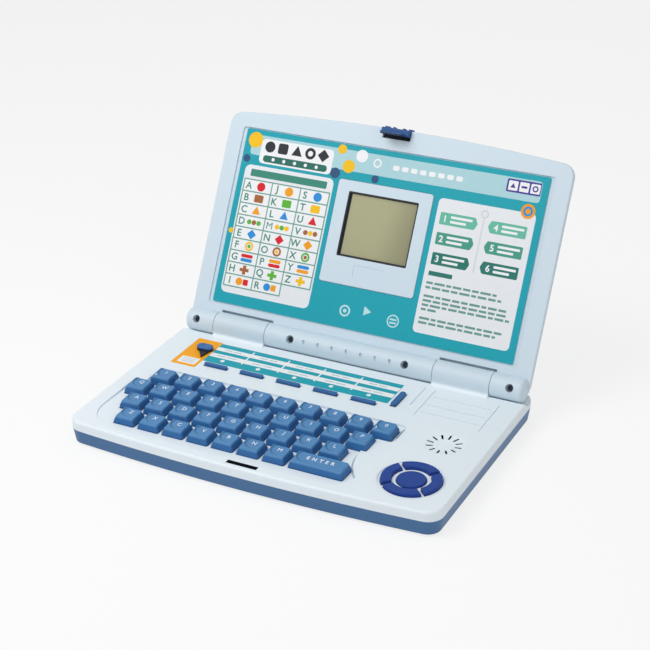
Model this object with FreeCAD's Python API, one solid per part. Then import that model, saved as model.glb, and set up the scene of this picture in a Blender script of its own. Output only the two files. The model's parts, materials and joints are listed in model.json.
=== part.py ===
"""Toy laptop computer: a shallow two-part base with keys, a hinged lid with a picture card and a
small display, and the pieces inside.

Everything is drawn in millimetres with +X to the right, +Y to the back and +Z up. The drawing frame
has y = 0 at the hinge axis and z = 0 at the ground. Lid pieces are drawn closed, flat over the base,
from the hinge axis, and then opened to the angle they rest at. The finished pieces are moved along Y
so that the origin lies under the middle of the whole object's box.
"""
import FreeCAD, Part
import math
import os
from collections import namedtuple

Vec = FreeCAD.Vector
Plan = namedtuple("Plan", "half front bow rear r_front r_rear")
X_AXIS = Vec(1, 0, 0)
Z_AXIS = Vec(0, 0, 1)

# Heights of the base
FOOT_H = 1.5
PARTING_Z = 10.8
DECK_Z = 17.2
WALL = 2.2
DECK_T = 2.0
TRAY_FLOOR = 2.0
TRAY_TAPER = 1.5
DECK_UNDER = DECK_Z - DECK_T
FLOOR_TOP = FOOT_H + TRAY_FLOOR

# Outline of the base seen from above
BASE = Plan(half=125.0, front=-151.0, bow=5.3, rear=8.0, r_front=10.0, r_rear=7.0)
DECK_EDGE_R = 1.6
BOW_PIECES = 12

# Hinge
HINGE_Z = DECK_Z + 5.5
BARREL_R = 8.0
BARREL_END = 122.2
BARREL_END_R = 3.2
SWING_GAP = 0.5
TROUGH_GAP = 1.0
KNUCKLE_IN = 61.2
KNUCKLE_OUT = 100.0
KNUCKLE_GAP = 0.4
PIN_R = 3.0
PIN_FIT = 0.05
PIN_LEN = 5.4
SCOOP_WALL = 2.0
KNUCKLE_FILLET = 3.0
SLIT_FAR = 9.5
SLIT_DEPTH = 4.4

# Lid, drawn closed from the hinge axis
LID = Plan(half=123.5, front=-149.8, bow=5.1, rear=BARREL_R, r_front=9.0, r_rear=7.0)
LID_FRONT = 1.76
LID_T = 8.0
LID_BACK = LID_FRONT + LID_T
LID_FRAME_T = 2.5
LID_SPLIT = LID_FRONT + LID_FRAME_T
LID_BACK_R = 5.5
LID_FRONT_R = 1.0
LID_SLOPE_START = 14.0
LID_OPEN = 118.25
LID_FLANGE = 6.0
LID_CORNER_END = 2.0
COVER_WALL = 3.0
COVER_POST_H = 2.0
BARREL_SPLIT_DEPTH = 5.0

# Picture card, display and their pocket in the lid
POCKET_HALF = 112.4
POCKET_NEAR = 13.2
POCKET_FAR = 135.6
POCKET_DEPTH = 1.2
CARD_HALF = 109.3
CARD_NEAR = 14.5
CARD_FAR = 134.8
CARD_T = 0.9
BEZEL_HALF = 34.2
BEZEL_NEAR = 42.6
BEZEL_FAR = 111.6
BEZEL_PROUD = 0.3
WINDOW_HALF = 25.3
WINDOW_NEAR = 61.1
WINDOW_FAR = 104.5
DISPLAY_MARGIN = 2.6
DISPLAY_T = 3.0
DISPLAY_SET_BACK = 1.5
PLATE_HALF = 11.0
PLATE_NEAR = 48.9
PLATE_FAR = 56.8
PLATE_DEPTH = 0.3

# Keys
KEY_PITCH_X = 17.385
KEY_W = 14.6
KEY_D = 14.2
KEY_TOP_INSET = 1.25
KEY_PROUD = 3.9
KEY_RISE = 0.9
KEY_TILT = math.degrees(math.atan2(KEY_RISE, KEY_D - 2.0 * KEY_TOP_INSET))
KEY_SKIRT = 0.6
KEY_CORNER_R = 1.2
KEY_EDGE_R = 0.6
KEY_DISH_AT = (0.6, 2.2)
KEY_DISH_R = 6.2
KEY_DISH_WALL = 1.3
KEY_DISH_DEPTH = 0.55
KEY_ROWS = (
    (-96.8, -75.9, "1234567890"),
    (-104.5, -93.7, "qwertyuiop"),
    (-96.6, -111.5, "asdfghjkl"),
    (-89.4, -129.3, "zxcvbnm"),
)
ENTER_LEFT = 25.1
ENTER_RIGHT = 60.6
FIT_GAP = 0.35
FLANGE_OVER = 0.8
FLANGE_T = 1.0
FLANGE_GAP = 0.3

# Key well in the deck
WELL_LEFT = -115.0
WELL_BACK_LEFT = -107.0
WELL_RIGHT = 70.0
WELL_STEP_RIGHT = 66.5
WELL_BACK = -63.0
WELL_FRONT = -143.5
WELL_RAMP_Y = -134.0
WELL_RAMP_DEPTH = 0.8
WELL_STEP_Y = -84.8
WELL_CORNER_R = 16.0
WELL_LEFT_R = 24.0
WELL_BACK_R = 4.0
WELL_DEPTH = 1.6
WELL_UNDER = DECK_Z - 3.6
PALM_CENTRE = (101.0, -101.0)
PALM_R = 45.0

# Direction pad
PAD_CENTRE = (96.6, -118.1)
PAD_OUTER_R = 18.2
PAD_INNER_R = 11.9
PAD_BUTTON_R = 8.9
PAD_SPLIT = 2.2
PAD_PROUD = 1.8
PAD_BUTTON_PROUD = 0.8
PAD_EDGE_R = 0.8
PAD_RECESS_R = 20.2
PAD_RECESS = 0.5
PAD_TRAVEL = 1.5

# Mode buttons
MODE_FIRST_X = -75.14
MODE_PITCH = 26.709
MODE_COUNT = 5
MODE_Y = -47.1
MODE_W = 17.0
MODE_D = 2.8
MODE_PROUD = 1.9
MODE_TRAVEL = 1.0
SIDE_MODE_CENTRE = (50.75, -35.75)
SIDE_MODE_SIZE = (3.7, 17.5)

# Power slider
SLIDER_CENTRE = (-94.2, -28.7)
SLIDER_W = 11.5
SLIDER_D = 6.8
SLIDER_PROUD = 3.2
SLIDER_TRAVEL = 3.0
SLIDER_STEM_W = 4.0
SLIDER_STEM_D = 3.0
POINTER_TIP = (3.2, -11.3)
POINTER_T = 1.2

# Latch on the lid's free edge, and its slot in the deck
LATCH_HALF = 9.7
LATCH_NEAR = 145.2
LATCH_FAR = 149.7
LATCH_PROUD = 4.5
HOOK_HALF = 7.4
HOOK_T = 1.2
HOOK_LEN = 11.3
NOSE = 0.6
NOSE_T = 1.4
RIB_TOP = 151.0
RIBS = ((-8.5, 3.0), (-3.5, 1.6), (3.5, 1.6), (8.5, 3.0))
SLOT_HALF = 10.3
SLOT_FRONT = -147.95
SLOT_BACK = -144.35

# Speaker and vent panel
SPEAKER_CENTRE = (97.8, -72.8)
SPEAKER_R = 14.0
SPEAKER_DISH_R = 13.0
SPEAKER_DISH = 0.8
SPEAKER_SLOTS = 12
SPEAKER_SLOT_MID = 9.0
SPEAKER_SLOT_L = 4.6
SPEAKER_SLOT_W = 1.3
GROOVE_W = 0.8
GROOVE_DEPTH = 0.6
VENT_SIDES = ((59.7, -38.0, -13.0), (66.9, -48.5, -15.0), (110.7, -50.0, -15.0))
VENT_BARS = (-22.5, -33.5, -43.0)
VENT_BAR_X = (69.0, 108.5)

# Fastenings
BASE_SCREWS = tuple((side * x, y) for x, y in ((115.0, -135.5), (60.0, -142.0), (118.0, -58.0), (80.0, -2.0))
                    for side in (-1, 1))
COLUMN_TOP = 7.0
COLUMN_R = 4.4
BOSS_R = 3.4
HEAD_R = 2.8
HEAD_T = 1.6
HEAD_SEAT = 5.0
SHANK_R = 1.25
SCREW_FIT = 0.05
BARREL_SCREW_X = (-113.5, -41.6, 41.6, 113.5)
COVER_SCREWS = tuple((side * 113.0, y) for y in (-128.0, -62.0) for side in (-1, 1))
SMALL_HEAD_R = 1.9
SMALL_SHANK_R = 1.15
BARREL_HOLE_R = 2.7
BARREL_SEAT = 4.0
BARREL_CORE_R = 5.6
BARREL_CORE_HALF = 36.0
BARREL_VENTS = 7
BARREL_VENT_PITCH = 10.4
BARREL_VENT_SIZE = (1.7, 3.0)
BARREL_VENT_DEPTH = 1.2
BARREL_VENT_SLANT = -22.0

# Board, mat and batteries
BOARD_Z = 7.6
BOARD_T = 1.6
BOARD_POSTS = ((-106.0, -68.0), (56.0, -68.0), (-106.0, -133.0), (0.0, -134.0), (90.0, -136.0),
               (-88.0, -30.0))
MAT_T = 1.0
MAT_TOP = BOARD_Z + BOARD_T + MAT_T
CELL_R = 5.25
CELL_L = 44.5
CELL_PITCH = 11.2
CELL_FIRST_Y = -44.7
CELL_X = 64.2
CELL_Z = 9.05
BAY_X = (63.0, 110.5)
BAY_Y = (-50.6, -16.4)
BAY_WALL = 1.4
BAY_TOP = 13.0
DOOR_HALF = 23.0
DOOR_TONGUE_HALF = 25.0
DOOR_X = 86.75
DOOR_FRONT = -50.5
DOOR_T = 1.8
DOOR_GAP = 0.35
TONGUE_Z = FOOT_H + 0.9
FEET = ((-108.0, -128.0), (108.0, -128.0), (-116.5, -4.0), (116.5, -4.0))
FOOT_R = 4.5

# The top back edge of the lid sets the depth of the whole object
LEAN = math.radians(LID_OPEN - 90.0)
LID_REACH = ((-LID.front - LID_BACK_R) * math.sin(LEAN)
             + (LID_BACK - LID_BACK_R) * math.cos(LEAN) + LID_BACK_R)
FRAME_SHIFT = Vec(0, -(BASE.front + LID_REACH) / 2.0, 0)


def box(x0, x1, y0, y1, z0, z1):
    """Block between two corners."""
    return Part.makeBox(x1 - x0, y1 - y0, z1 - z0, Vec(x0, y0, z0))


def post(radius, x, y, z0, z1):
    """Upright cylinder."""
    return Part.makeCylinder(radius, z1 - z0, Vec(x, y, z0))


def bar_x(radius, x0, x1, y=0.0, z=0.0):
    """Cylinder lying along X."""
    return Part.makeCylinder(radius, x1 - x0, Vec(x0, y, z), X_AXIS)


def fuse(shapes):
    """Joins shapes that touch or overlap into one."""
    return shapes[0].multiFuse(shapes[1:])


def line(a, b):
    return Part.LineSegment(a, b).toShape()


def arc(a, mid, b):
    return Part.Arc(a, mid, b).toShape()


def plan_wire(plan, inset, z):
    """Outline with straight sides and back, rounded corners and a front bowed in short arcs."""
    bow_r = (plan.half ** 2 + plan.bow ** 2) / (2.0 * plan.bow)
    centre_y = plan.front + bow_r
    bow_r -= inset
    half = plan.half - inset
    rear = plan.rear - inset
    r_front = plan.r_front - inset
    r_rear = plan.r_rear - inset
    corner_x = half - r_front
    corner_y = centre_y - math.sqrt((bow_r - r_front) ** 2 - corner_x ** 2)
    reach = bow_r / (bow_r - r_front)
    touch_x = corner_x * reach
    touch_y = centre_y + (corner_y - centre_y) * reach
    turn = math.atan2(touch_y - corner_y, touch_x - corner_x) / 2.0
    mid_x = corner_x + r_front * math.cos(turn)
    mid_y = corner_y + r_front * math.sin(turn)
    slant = math.sqrt(0.5) * r_rear
    edges = []
    edges.append(line(Vec(-half, rear - r_rear, z), Vec(-half, corner_y, z)))
    edges.append(arc(Vec(-half, corner_y, z), Vec(-mid_x, mid_y, z), Vec(-touch_x, touch_y, z)))
    span = math.asin(touch_x / bow_r)
    bow = []
    for step in range(-BOW_PIECES, BOW_PIECES + 1):
        turn = span * step / BOW_PIECES
        bow.append(Vec(bow_r * math.sin(turn), centre_y - bow_r * math.cos(turn), z))
    for step in range(0, len(bow) - 1, 2):
        edges.append(arc(bow[step], bow[step + 1], bow[step + 2]))
    edges.append(arc(Vec(touch_x, touch_y, z), Vec(mid_x, mid_y, z), Vec(half, corner_y, z)))
    edges.append(line(Vec(half, corner_y, z), Vec(half, rear - r_rear, z)))
    edges.append(arc(Vec(half, rear - r_rear, z),
                     Vec(half - r_rear + slant, rear - r_rear + slant, z), Vec(half - r_rear, rear, z)))
    edges.append(line(Vec(half - r_rear, rear, z), Vec(-half + r_rear, rear, z)))
    edges.append(arc(Vec(-half + r_rear, rear, z),
                     Vec(-half + r_rear - slant, rear - r_rear + slant, z), Vec(-half, rear - r_rear, z)))
    return Part.Wire(edges)


def plan_block(plan, inset, z0, z1):
    """Straight-sided block on a plan outline."""
    return Part.Face(plan_wire(plan, inset, z0)).extrude(Vec(0, 0, z1 - z0))


def round_rect(x0, x1, y0, y1, radius, z):
    """Rectangle with rounded corners."""
    slant = radius * (1.0 - math.sqrt(0.5))
    return Part.Wire([
        line(Vec(x0 + radius, y0, z), Vec(x1 - radius, y0, z)),
        arc(Vec(x1 - radius, y0, z), Vec(x1 - slant, y0 + slant, z), Vec(x1, y0 + radius, z)),
        line(Vec(x1, y0 + radius, z), Vec(x1, y1 - radius, z)),
        arc(Vec(x1, y1 - radius, z), Vec(x1 - slant, y1 - slant, z), Vec(x1 - radius, y1, z)),
        line(Vec(x1 - radius, y1, z), Vec(x0 + radius, y1, z)),
        arc(Vec(x0 + radius, y1, z), Vec(x0 + slant, y1 - slant, z), Vec(x0, y1 - radius, z)),
        line(Vec(x0, y1 - radius, z), Vec(x0, y0 + radius, z)),
        arc(Vec(x0, y0 + radius, z), Vec(x0 + slant, y0 + slant, z), Vec(x0 + radius, y0, z)),
    ])


def round_block(x0, x1, y0, y1, radius, z0, z1):
    """Block with rounded upright edges."""
    return Part.Face(round_rect(x0, x1, y0, y1, radius, z0)).extrude(Vec(0, 0, z1 - z0))


def edges_at(shape, z):
    """Edges that lie wholly in the level z."""
    found = []
    for edge in shape.Edges:
        low = edge.BoundBox.ZMin
        high = edge.BoundBox.ZMax
        if abs(low - z) < 0.01 and abs(high - z) < 0.01:
            found.append(edge)
    return found


def dish_cutter(x, y, z, radius, depth):
    """Ball whose lower cap cuts a round hollow of the given rim radius into the level z."""
    ball_r = (radius ** 2 + depth ** 2) / (2.0 * depth)
    centre = Vec(x, y, z - depth + ball_r)
    ball = Part.makeSphere(ball_r, centre)
    # its poles turned to the sides, and its seam upwards, keep the hollow one plain face
    ball.rotate(centre, Vec(0, 1, 0), -90.0)
    return ball


def prism_x(points, x0, x1):
    """Polygon of (y, z) points, extruded along X."""
    corners = [Vec(x0, y, z) for y, z in points]
    corners.append(corners[0])
    return Part.Face(Part.makePolygon(corners)).extrude(Vec(x1 - x0, 0, 0))


def open_lid(shape):
    """Turns a piece drawn closed on the hinge axis to where the open lid holds it."""
    opened = shape.copy()
    opened.rotate(Vec(0, 0, 0), X_AXIS, -LID_OPEN)
    opened.translate(Vec(0, 0, HINGE_Z))
    return opened


def key_blocks():
    """Name, left, right and middle depth of each key, row by row."""
    keys = []
    for first_x, y, letters in KEY_ROWS:
        for place, letter in enumerate(letters):
            x = first_x + place * KEY_PITCH_X
            keys.append(("key_" + letter, x - KEY_W / 2.0, x + KEY_W / 2.0, y))
    keys.append(("key_enter", ENTER_LEFT, ENTER_RIGHT, KEY_ROWS[-1][1]))
    return keys


def key_scoop(x0, x1, y, top):
    """Flat hollow with a sloping wall for the finger, round on a short key and long on a wide one."""
    across, back = KEY_DISH_AT
    left = x0 + KEY_W / 2.0 + across
    right = x1 - KEY_W / 2.0 + across
    y += back
    over = 1.0
    floor_r = KEY_DISH_R - KEY_DISH_WALL
    high_r = KEY_DISH_R + KEY_DISH_WALL * over / KEY_DISH_DEPTH
    low = top - KEY_DISH_DEPTH
    high = top + over
    scoop = Part.makeCone(floor_r, high_r, high - low, Vec(left, y, low))
    if right - left > 1.0:
        far = Part.makeCone(floor_r, high_r, high - low, Vec(right, y, low))
        trough = prism_x([(y - floor_r, low), (y + floor_r, low), (y + high_r, high), (y - high_r, high)],
                         left, right)
        scoop = fuse([scoop, trough, far])
    return scoop


def key_cap(x0, x1, y):
    """Key with a tapered, hollowed cap that leans to the front, a skirt and a flange under the deck."""
    y0 = y - KEY_D / 2.0
    y1 = y + KEY_D / 2.0
    top = DECK_Z + KEY_PROUD
    shoulder = DECK_Z + KEY_SKIRT
    flange_top = WELL_UNDER - FLANGE_GAP
    tall = KEY_PROUD - KEY_SKIRT + KEY_RISE + 1.0
    inset = KEY_TOP_INSET * tall / (KEY_PROUD - KEY_SKIRT)
    foot = round_rect(x0, x1, y0, y1, KEY_CORNER_R, shoulder)
    head = round_rect(x0 + inset, x1 - inset, y0 + inset, y1 - inset, KEY_CORNER_R, shoulder + tall)
    cap = Part.makeLoft([foot, head], True, True)
    pivot = Vec(0, y0 + KEY_TOP_INSET, top)
    above = box(x0 - 5.0, x1 + 5.0, y0 - 5.0, y1 + 5.0, top, top + 5.0)
    above.rotate(pivot, X_AXIS, KEY_TILT)
    cap = cap.cut(above)
    lean = math.tan(math.radians(KEY_TILT))
    rim = [edge for edge in cap.Edges
           if all(abs(corner.Z - top - (corner.Y - pivot.y) * lean) < 0.01 for corner in edge.Vertexes)]
    cap = cap.makeFillet(KEY_EDGE_R, rim)
    scoop = key_scoop(x0, x1, y, top)
    scoop.rotate(pivot, X_AXIS, KEY_TILT)
    cap = cap.cut(scoop)
    skirt = round_block(x0, x1, y0, y1, KEY_CORNER_R, flange_top, shoulder)
    over = FLANGE_OVER
    flange = round_block(x0 - over, x1 + over, y0 - over, y1 + over, KEY_CORNER_R,
                         flange_top - FLANGE_T, flange_top)
    return fuse([cap, skirt, flange])


def well_cutter(floor_under=None):
    """Sloping key well, deepest at the back, or its straight-sided plan down to floor_under."""
    palm_x, palm_y = PALM_CENTRE
    top = DECK_Z + 1.0
    low = DECK_Z - WELL_DEPTH - 1.0 if floor_under is None else floor_under
    lap = WELL_CORNER_R
    front = round_block(WELL_LEFT, WELL_STEP_RIGHT, WELL_FRONT, WELL_STEP_Y, WELL_CORNER_R, low, top)
    middle = round_block(WELL_LEFT, WELL_STEP_RIGHT, WELL_STEP_Y - 2.0 * lap, WELL_STEP_Y, WELL_BACK_R,
                         low, top)
    back = round_block(WELL_BACK_LEFT, WELL_RIGHT, WELL_STEP_Y, WELL_BACK, WELL_BACK_R, low, top)
    link = box(WELL_BACK_LEFT, WELL_STEP_RIGHT - WELL_BACK_R, WELL_STEP_Y - lap, WELL_STEP_Y + lap / 2.0,
               low, top)
    body = fuse([front, middle, back, link])
    body = body.cut(post(PALM_R, palm_x, palm_y, low - 1.0, top + 1.0).cut(
        box(palm_x - PALM_R, palm_x + PALM_R, WELL_STEP_Y, palm_y + PALM_R, low - 2.0, top + 2.0)))
    corner_x = WELL_LEFT + WELL_LEFT_R
    corner_y = WELL_FRONT + WELL_LEFT_R
    corner = box(WELL_LEFT - 1.0, corner_x, WELL_FRONT - 1.0, corner_y, low - 1.0, top + 1.0)
    body = body.cut(corner.cut(post(WELL_LEFT_R, corner_x, corner_y, low - 2.0, top + 2.0)))
    if floor_under is not None:
        return body
    floor = prism_x([(WELL_FRONT, DECK_Z), (WELL_RAMP_Y, DECK_Z - WELL_RAMP_DEPTH),
                     (WELL_BACK, DECK_Z - WELL_DEPTH), (WELL_BACK + 1.0, top + 1.0), (WELL_FRONT, top + 1.0)],
                    WELL_LEFT - 1.0, WELL_RIGHT + 1.0)
    return body.common(floor)


def pad_sectors(grow, z0, z1):
    """The four arcs of the direction pad, each drawn out by grow: right, back, left and front."""
    x, y = PAD_CENTRE
    outer = PAD_OUTER_R + grow
    ring = post(outer, x, y, z0, z1).cut(post(PAD_INNER_R - grow, x, y, z0 - 1.0, z1 + 1.0))
    half_gap = PAD_SPLIT / 2.0 - grow
    reach = 2.0 * outer
    sectors = []
    for quarter in range(4):
        start = half_gap * math.sqrt(2.0)
        wedge_face = Part.Face(Part.makePolygon([
            Vec(start, 0, z0), Vec(start + reach, -reach, z0), Vec(start + reach, reach, z0),
            Vec(start, 0, z0)]))
        wedge = wedge_face.extrude(Vec(0, 0, z1 - z0))
        wedge.rotate(Vec(0, 0, 0), Z_AXIS, 90.0 * quarter)
        wedge.translate(Vec(x, y, 0))
        sectors.append(ring.common(wedge).Solids[0])
    return sectors


def rounded_top(solid, radius):
    """Rounds a button's top edge."""
    return solid.makeFillet(radius, edges_at(solid, solid.BoundBox.ZMax))


def pad_buttons():
    """Four arcs and the middle button, each with a flange under the deck and a plunger."""
    x, y = PAD_CENTRE
    top = DECK_Z + PAD_PROUD
    flange_top = DECK_UNDER - FLANGE_GAP
    flange_low = flange_top - FLANGE_T
    plunger_low = MAT_TOP + PAD_TRAVEL + FLANGE_GAP
    bodies = pad_sectors(0.0, flange_top, top)
    flanges = pad_sectors(FLANGE_OVER * 0.9, flange_low, flange_top)
    mid_r = (PAD_OUTER_R + PAD_INNER_R) / 2.0
    buttons = {}
    for quarter, name in enumerate(("pad_right", "pad_up", "pad_left", "pad_down")):
        angle = math.radians(90.0 * quarter)
        plunger = post(2.2, x + mid_r * math.cos(angle), y + mid_r * math.sin(angle),
                       plunger_low, flange_low)
        buttons[name] = fuse([rounded_top(bodies[quarter], PAD_EDGE_R), flanges[quarter], plunger])
    middle = rounded_top(post(PAD_BUTTON_R, x, y, flange_top, DECK_Z + PAD_BUTTON_PROUD), PAD_EDGE_R)
    flange = post(PAD_BUTTON_R + FLANGE_OVER, x, y, flange_low, flange_top)
    buttons["pad_centre"] = fuse([middle, flange, post(2.2, x, y, plunger_low, flange_low)])
    return buttons


def mode_places():
    """Middle of each mode button."""
    return [(MODE_FIRST_X + place * MODE_PITCH, MODE_Y) for place in range(MODE_COUNT)]


def bar_button(x, y, w, d, flange_top):
    """Thin bar with round ends and a softly rounded top."""
    bar = round_block(x - w / 2.0, x + w / 2.0, y - d / 2.0, y + d / 2.0, min(w, d) * 0.4,
                      flange_top, DECK_Z + MODE_PROUD)
    return rounded_top(bar, 0.4)


def mode_comb():
    """The row of mode buttons, moulded on one flexible strip under the deck."""
    flange_top = DECK_UNDER - FLANGE_GAP
    flange_low = flange_top - FLANGE_T
    plunger_low = MAT_TOP + MODE_TRAVEL + FLANGE_GAP
    places = mode_places()
    shapes = [box(places[0][0] - MODE_W * 0.6, places[-1][0] + MODE_W * 0.6, MODE_Y - MODE_D, MODE_Y + MODE_D,
                  flange_low, flange_top)]
    for x, y in places:
        shapes.append(bar_button(x, y, MODE_W, MODE_D, flange_top))
        shapes.append(post(1.8, x, y, plunger_low, flange_low))
    return fuse(shapes)


def side_mode_button():
    """The single mode button that stands upright beside the label."""
    x, y = SIDE_MODE_CENTRE
    w, d = SIDE_MODE_SIZE
    flange_top = DECK_UNDER - FLANGE_GAP
    flange_low = flange_top - FLANGE_T
    over = FLANGE_OVER
    flange = box(x - w / 2.0 - over, x + w / 2.0 + over, y - d / 2.0 - over, y + d / 2.0 + over,
                 flange_low, flange_top)
    plunger = post(1.8, x, y, MAT_TOP + MODE_TRAVEL + FLANGE_GAP, flange_low)
    return fuse([bar_button(x, y, w, d, flange_top), flange, plunger])


def power_slider():
    """Oval thumb knob with a flat pointer, on a stem through a slot to the switch below."""
    x, y = SLIDER_CENTRE
    low = DECK_Z + FLANGE_GAP
    half_w = SLIDER_W / 2.0
    half_d = SLIDER_D / 2.0
    top = DECK_Z + SLIDER_PROUD
    knob = round_block(x - half_w, x + half_w, y - half_d, y + half_d, half_d - 0.1, low, top)
    knob = rounded_top(knob, 0.8)
    knob = knob.cut(dish_cutter(x, y, top, 3.6, 0.5))
    tip = Vec(x + POINTER_TIP[0], y + POINTER_TIP[1], low)
    left = Vec(x - half_w * 0.7, y - half_d * 0.5, low)
    right = Vec(x + half_w * 0.9, y - half_d * 0.3, low)
    pointer = Part.Face(Part.makePolygon([tip, right, left, tip])).extrude(Vec(0, 0, POINTER_T))
    stem = box(x - SLIDER_STEM_W / 2.0, x + SLIDER_STEM_W / 2.0, y - SLIDER_STEM_D / 2.0,
               y + SLIDER_STEM_D / 2.0, DECK_UNDER - 3.5, low)
    flange_top = DECK_UNDER - FLANGE_GAP
    flange = box(x - half_w, x + half_w, y - half_d, y + half_d, flange_top - FLANGE_T, flange_top)
    return fuse([knob, pointer, stem, flange])


def knuckle_spans():
    """Spans along X of the base's two knuckles."""
    return [(-KNUCKLE_OUT, -KNUCKLE_IN), (KNUCKLE_IN, KNUCKLE_OUT)]


def lid_barrel_spans():
    """Spans along X of the lid's barrels: left, middle and right."""
    inner = KNUCKLE_IN - KNUCKLE_GAP
    outer = KNUCKLE_OUT + KNUCKLE_GAP
    return [(-BARREL_END, -outer), (-inner, inner), (outer, BARREL_END)]


def deck_holes():
    """Everything that is cut right through the deck."""
    low = PARTING_Z
    high = DECK_Z + 1.0
    gap = FIT_GAP
    holes = []
    for _, x0, x1, y in key_blocks():
        holes.append(round_block(x0 - gap, x1 + gap, y - KEY_D / 2.0 - gap, y + KEY_D / 2.0 + gap,
                                 KEY_CORNER_R, low, high))
    holes += pad_sectors(gap, low, high)
    holes.append(post(PAD_BUTTON_R + gap, PAD_CENTRE[0], PAD_CENTRE[1], low, high))
    bars = [(x, y, MODE_W, MODE_D) for x, y in mode_places()]
    bars.append((*SIDE_MODE_CENTRE, *SIDE_MODE_SIZE))
    for x, y, w, d in bars:
        half_w = w / 2.0 + gap
        half_d = d / 2.0 + gap
        holes.append(box(x - half_w, x + half_w, y - half_d, y + half_d, low, high))
    x, y = SLIDER_CENTRE
    holes.append(box(x - SLIDER_STEM_W / 2.0 - SLIDER_TRAVEL - gap, x + SLIDER_STEM_W / 2.0 + gap,
                     y - SLIDER_STEM_D / 2.0 - gap, y + SLIDER_STEM_D / 2.0 + gap, low, high))
    holes.append(box(-SLOT_HALF, SLOT_HALF, SLOT_FRONT, SLOT_BACK, PARTING_Z + 2.0, high))
    slot = round_block(SPEAKER_SLOT_MID - SPEAKER_SLOT_L / 2.0, SPEAKER_SLOT_MID + SPEAKER_SLOT_L / 2.0,
                       -SPEAKER_SLOT_W / 2.0, SPEAKER_SLOT_W / 2.0, SPEAKER_SLOT_W * 0.45, low, high)
    for place in range(SPEAKER_SLOTS):
        turned = slot.copy()
        turned.rotate(Vec(0, 0, 0), Z_AXIS, place * 360.0 / SPEAKER_SLOTS)
        turned.translate(Vec(*SPEAKER_CENTRE, 0))
        holes.append(turned)
    return holes


def deck_hollows():
    """Shallow shapes in the deck: well, pad recess, speaker dish and vent grooves."""
    floor = DECK_Z - GROOVE_DEPTH
    high = DECK_Z + 1.0
    half = GROOVE_W / 2.0
    hollows = [well_cutter()]
    hollows.append(post(PAD_RECESS_R, PAD_CENTRE[0], PAD_CENTRE[1], DECK_Z - PAD_RECESS, high))
    hollows.append(dish_cutter(*SPEAKER_CENTRE, DECK_Z, SPEAKER_DISH_R, SPEAKER_DISH))
    for x, y0, y1 in VENT_SIDES:
        hollows.append(box(x - half, x + half, y0, y1, floor, high))
    for y in VENT_BARS:
        hollows.append(box(*VENT_BAR_X, y - half, y + half, floor, high))
    return hollows


def base_top_shell():
    """Deck with its side walls, key well, knuckles, hinge pins, scoops for the lid and screw bosses."""
    outer = plan_block(BASE, 0.0, PARTING_Z, DECK_Z)
    outer = outer.makeFillet(DECK_EDGE_R, edges_at(outer, DECK_Z))
    inner = plan_block(BASE, WALL, PARTING_Z - 1.0, DECK_UNDER)
    shell = outer.cut(inner)
    swing_r = BARREL_R + TROUGH_GAP
    adds = [well_cutter(WELL_UNDER).common(box(-BASE.half, BASE.half, BASE.front, 0, WELL_UNDER, DECK_UNDER))]
    for x, y in BASE_SCREWS:
        adds.append(post(BOSS_R, x, y, COLUMN_TOP + SCREW_FIT, DECK_UNDER))
    inside = plan_block(BASE, WALL, PARTING_Z, DECK_UNDER)
    for x0, x1 in lid_barrel_spans():
        trough = bar_x(swing_r + SCOOP_WALL, x0 - WALL, x1 + WALL, 0.0, HINGE_Z)
        adds.append(trough.common(inside))
    for x0, x1 in knuckle_spans():
        adds.append(bar_x(BARREL_R, x0, x1, 0.0, HINGE_Z))
        adds.append(box(x0, x1, -BARREL_R, BARREL_R, DECK_UNDER, HINGE_Z))
        fillet_y = -BARREL_R - KNUCKLE_FILLET
        fillet_z = DECK_Z + KNUCKLE_FILLET
        adds.append(box(x0, x1, fillet_y, -BARREL_R, DECK_UNDER, fillet_z).cut(
            bar_x(KNUCKLE_FILLET, x0 - 1.0, x1 + 1.0, fillet_y, fillet_z)))
    shell = fuse([shell] + adds)
    cuts = deck_hollows() + deck_holes()
    for x0, x1 in lid_barrel_spans():
        left = x0 - KNUCKLE_GAP if x0 > -BARREL_END else -BASE.half - 1.0
        right = x1 + KNUCKLE_GAP if x1 < BARREL_END else BASE.half + 1.0
        cuts.append(bar_x(swing_r, left, right, 0.0, HINGE_Z))
    for x, y in BASE_SCREWS:
        cuts.append(post(SHANK_R + SCREW_FIT, x, y, PARTING_Z - 4.0, DECK_UNDER - 1.0))
    shell = shell.cut(cuts)
    pins = []
    for x0, x1 in knuckle_spans():
        pins.append(bar_x(PIN_R, x0 - PIN_LEN, x1 + PIN_LEN, 0.0, HINGE_Z))
    return fuse([shell] + pins)


def tray_outside():
    """Outer shape of the tray, narrowing downwards."""
    return Part.makeLoft([plan_wire(BASE, TRAY_TAPER, FOOT_H), plan_wire(BASE, 0.0, PARTING_Z)], True, True)


def door_slot(gap):
    """Space of the sliding battery door in the tray's floor: a plate with a tongue along each side."""
    reach = BASE.rear + 2.0
    top = FOOT_H + DOOR_T + gap
    front = DOOR_FRONT - gap
    plate = box(DOOR_X - DOOR_HALF - gap, DOOR_X + DOOR_HALF + gap, front, reach, FOOT_H - 1.0, top)
    tongue = box(DOOR_X - DOOR_TONGUE_HALF - gap, DOOR_X + DOOR_TONGUE_HALF + gap, front, reach,
                 TONGUE_Z - gap, top)
    return fuse([plate, tongue])


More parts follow.
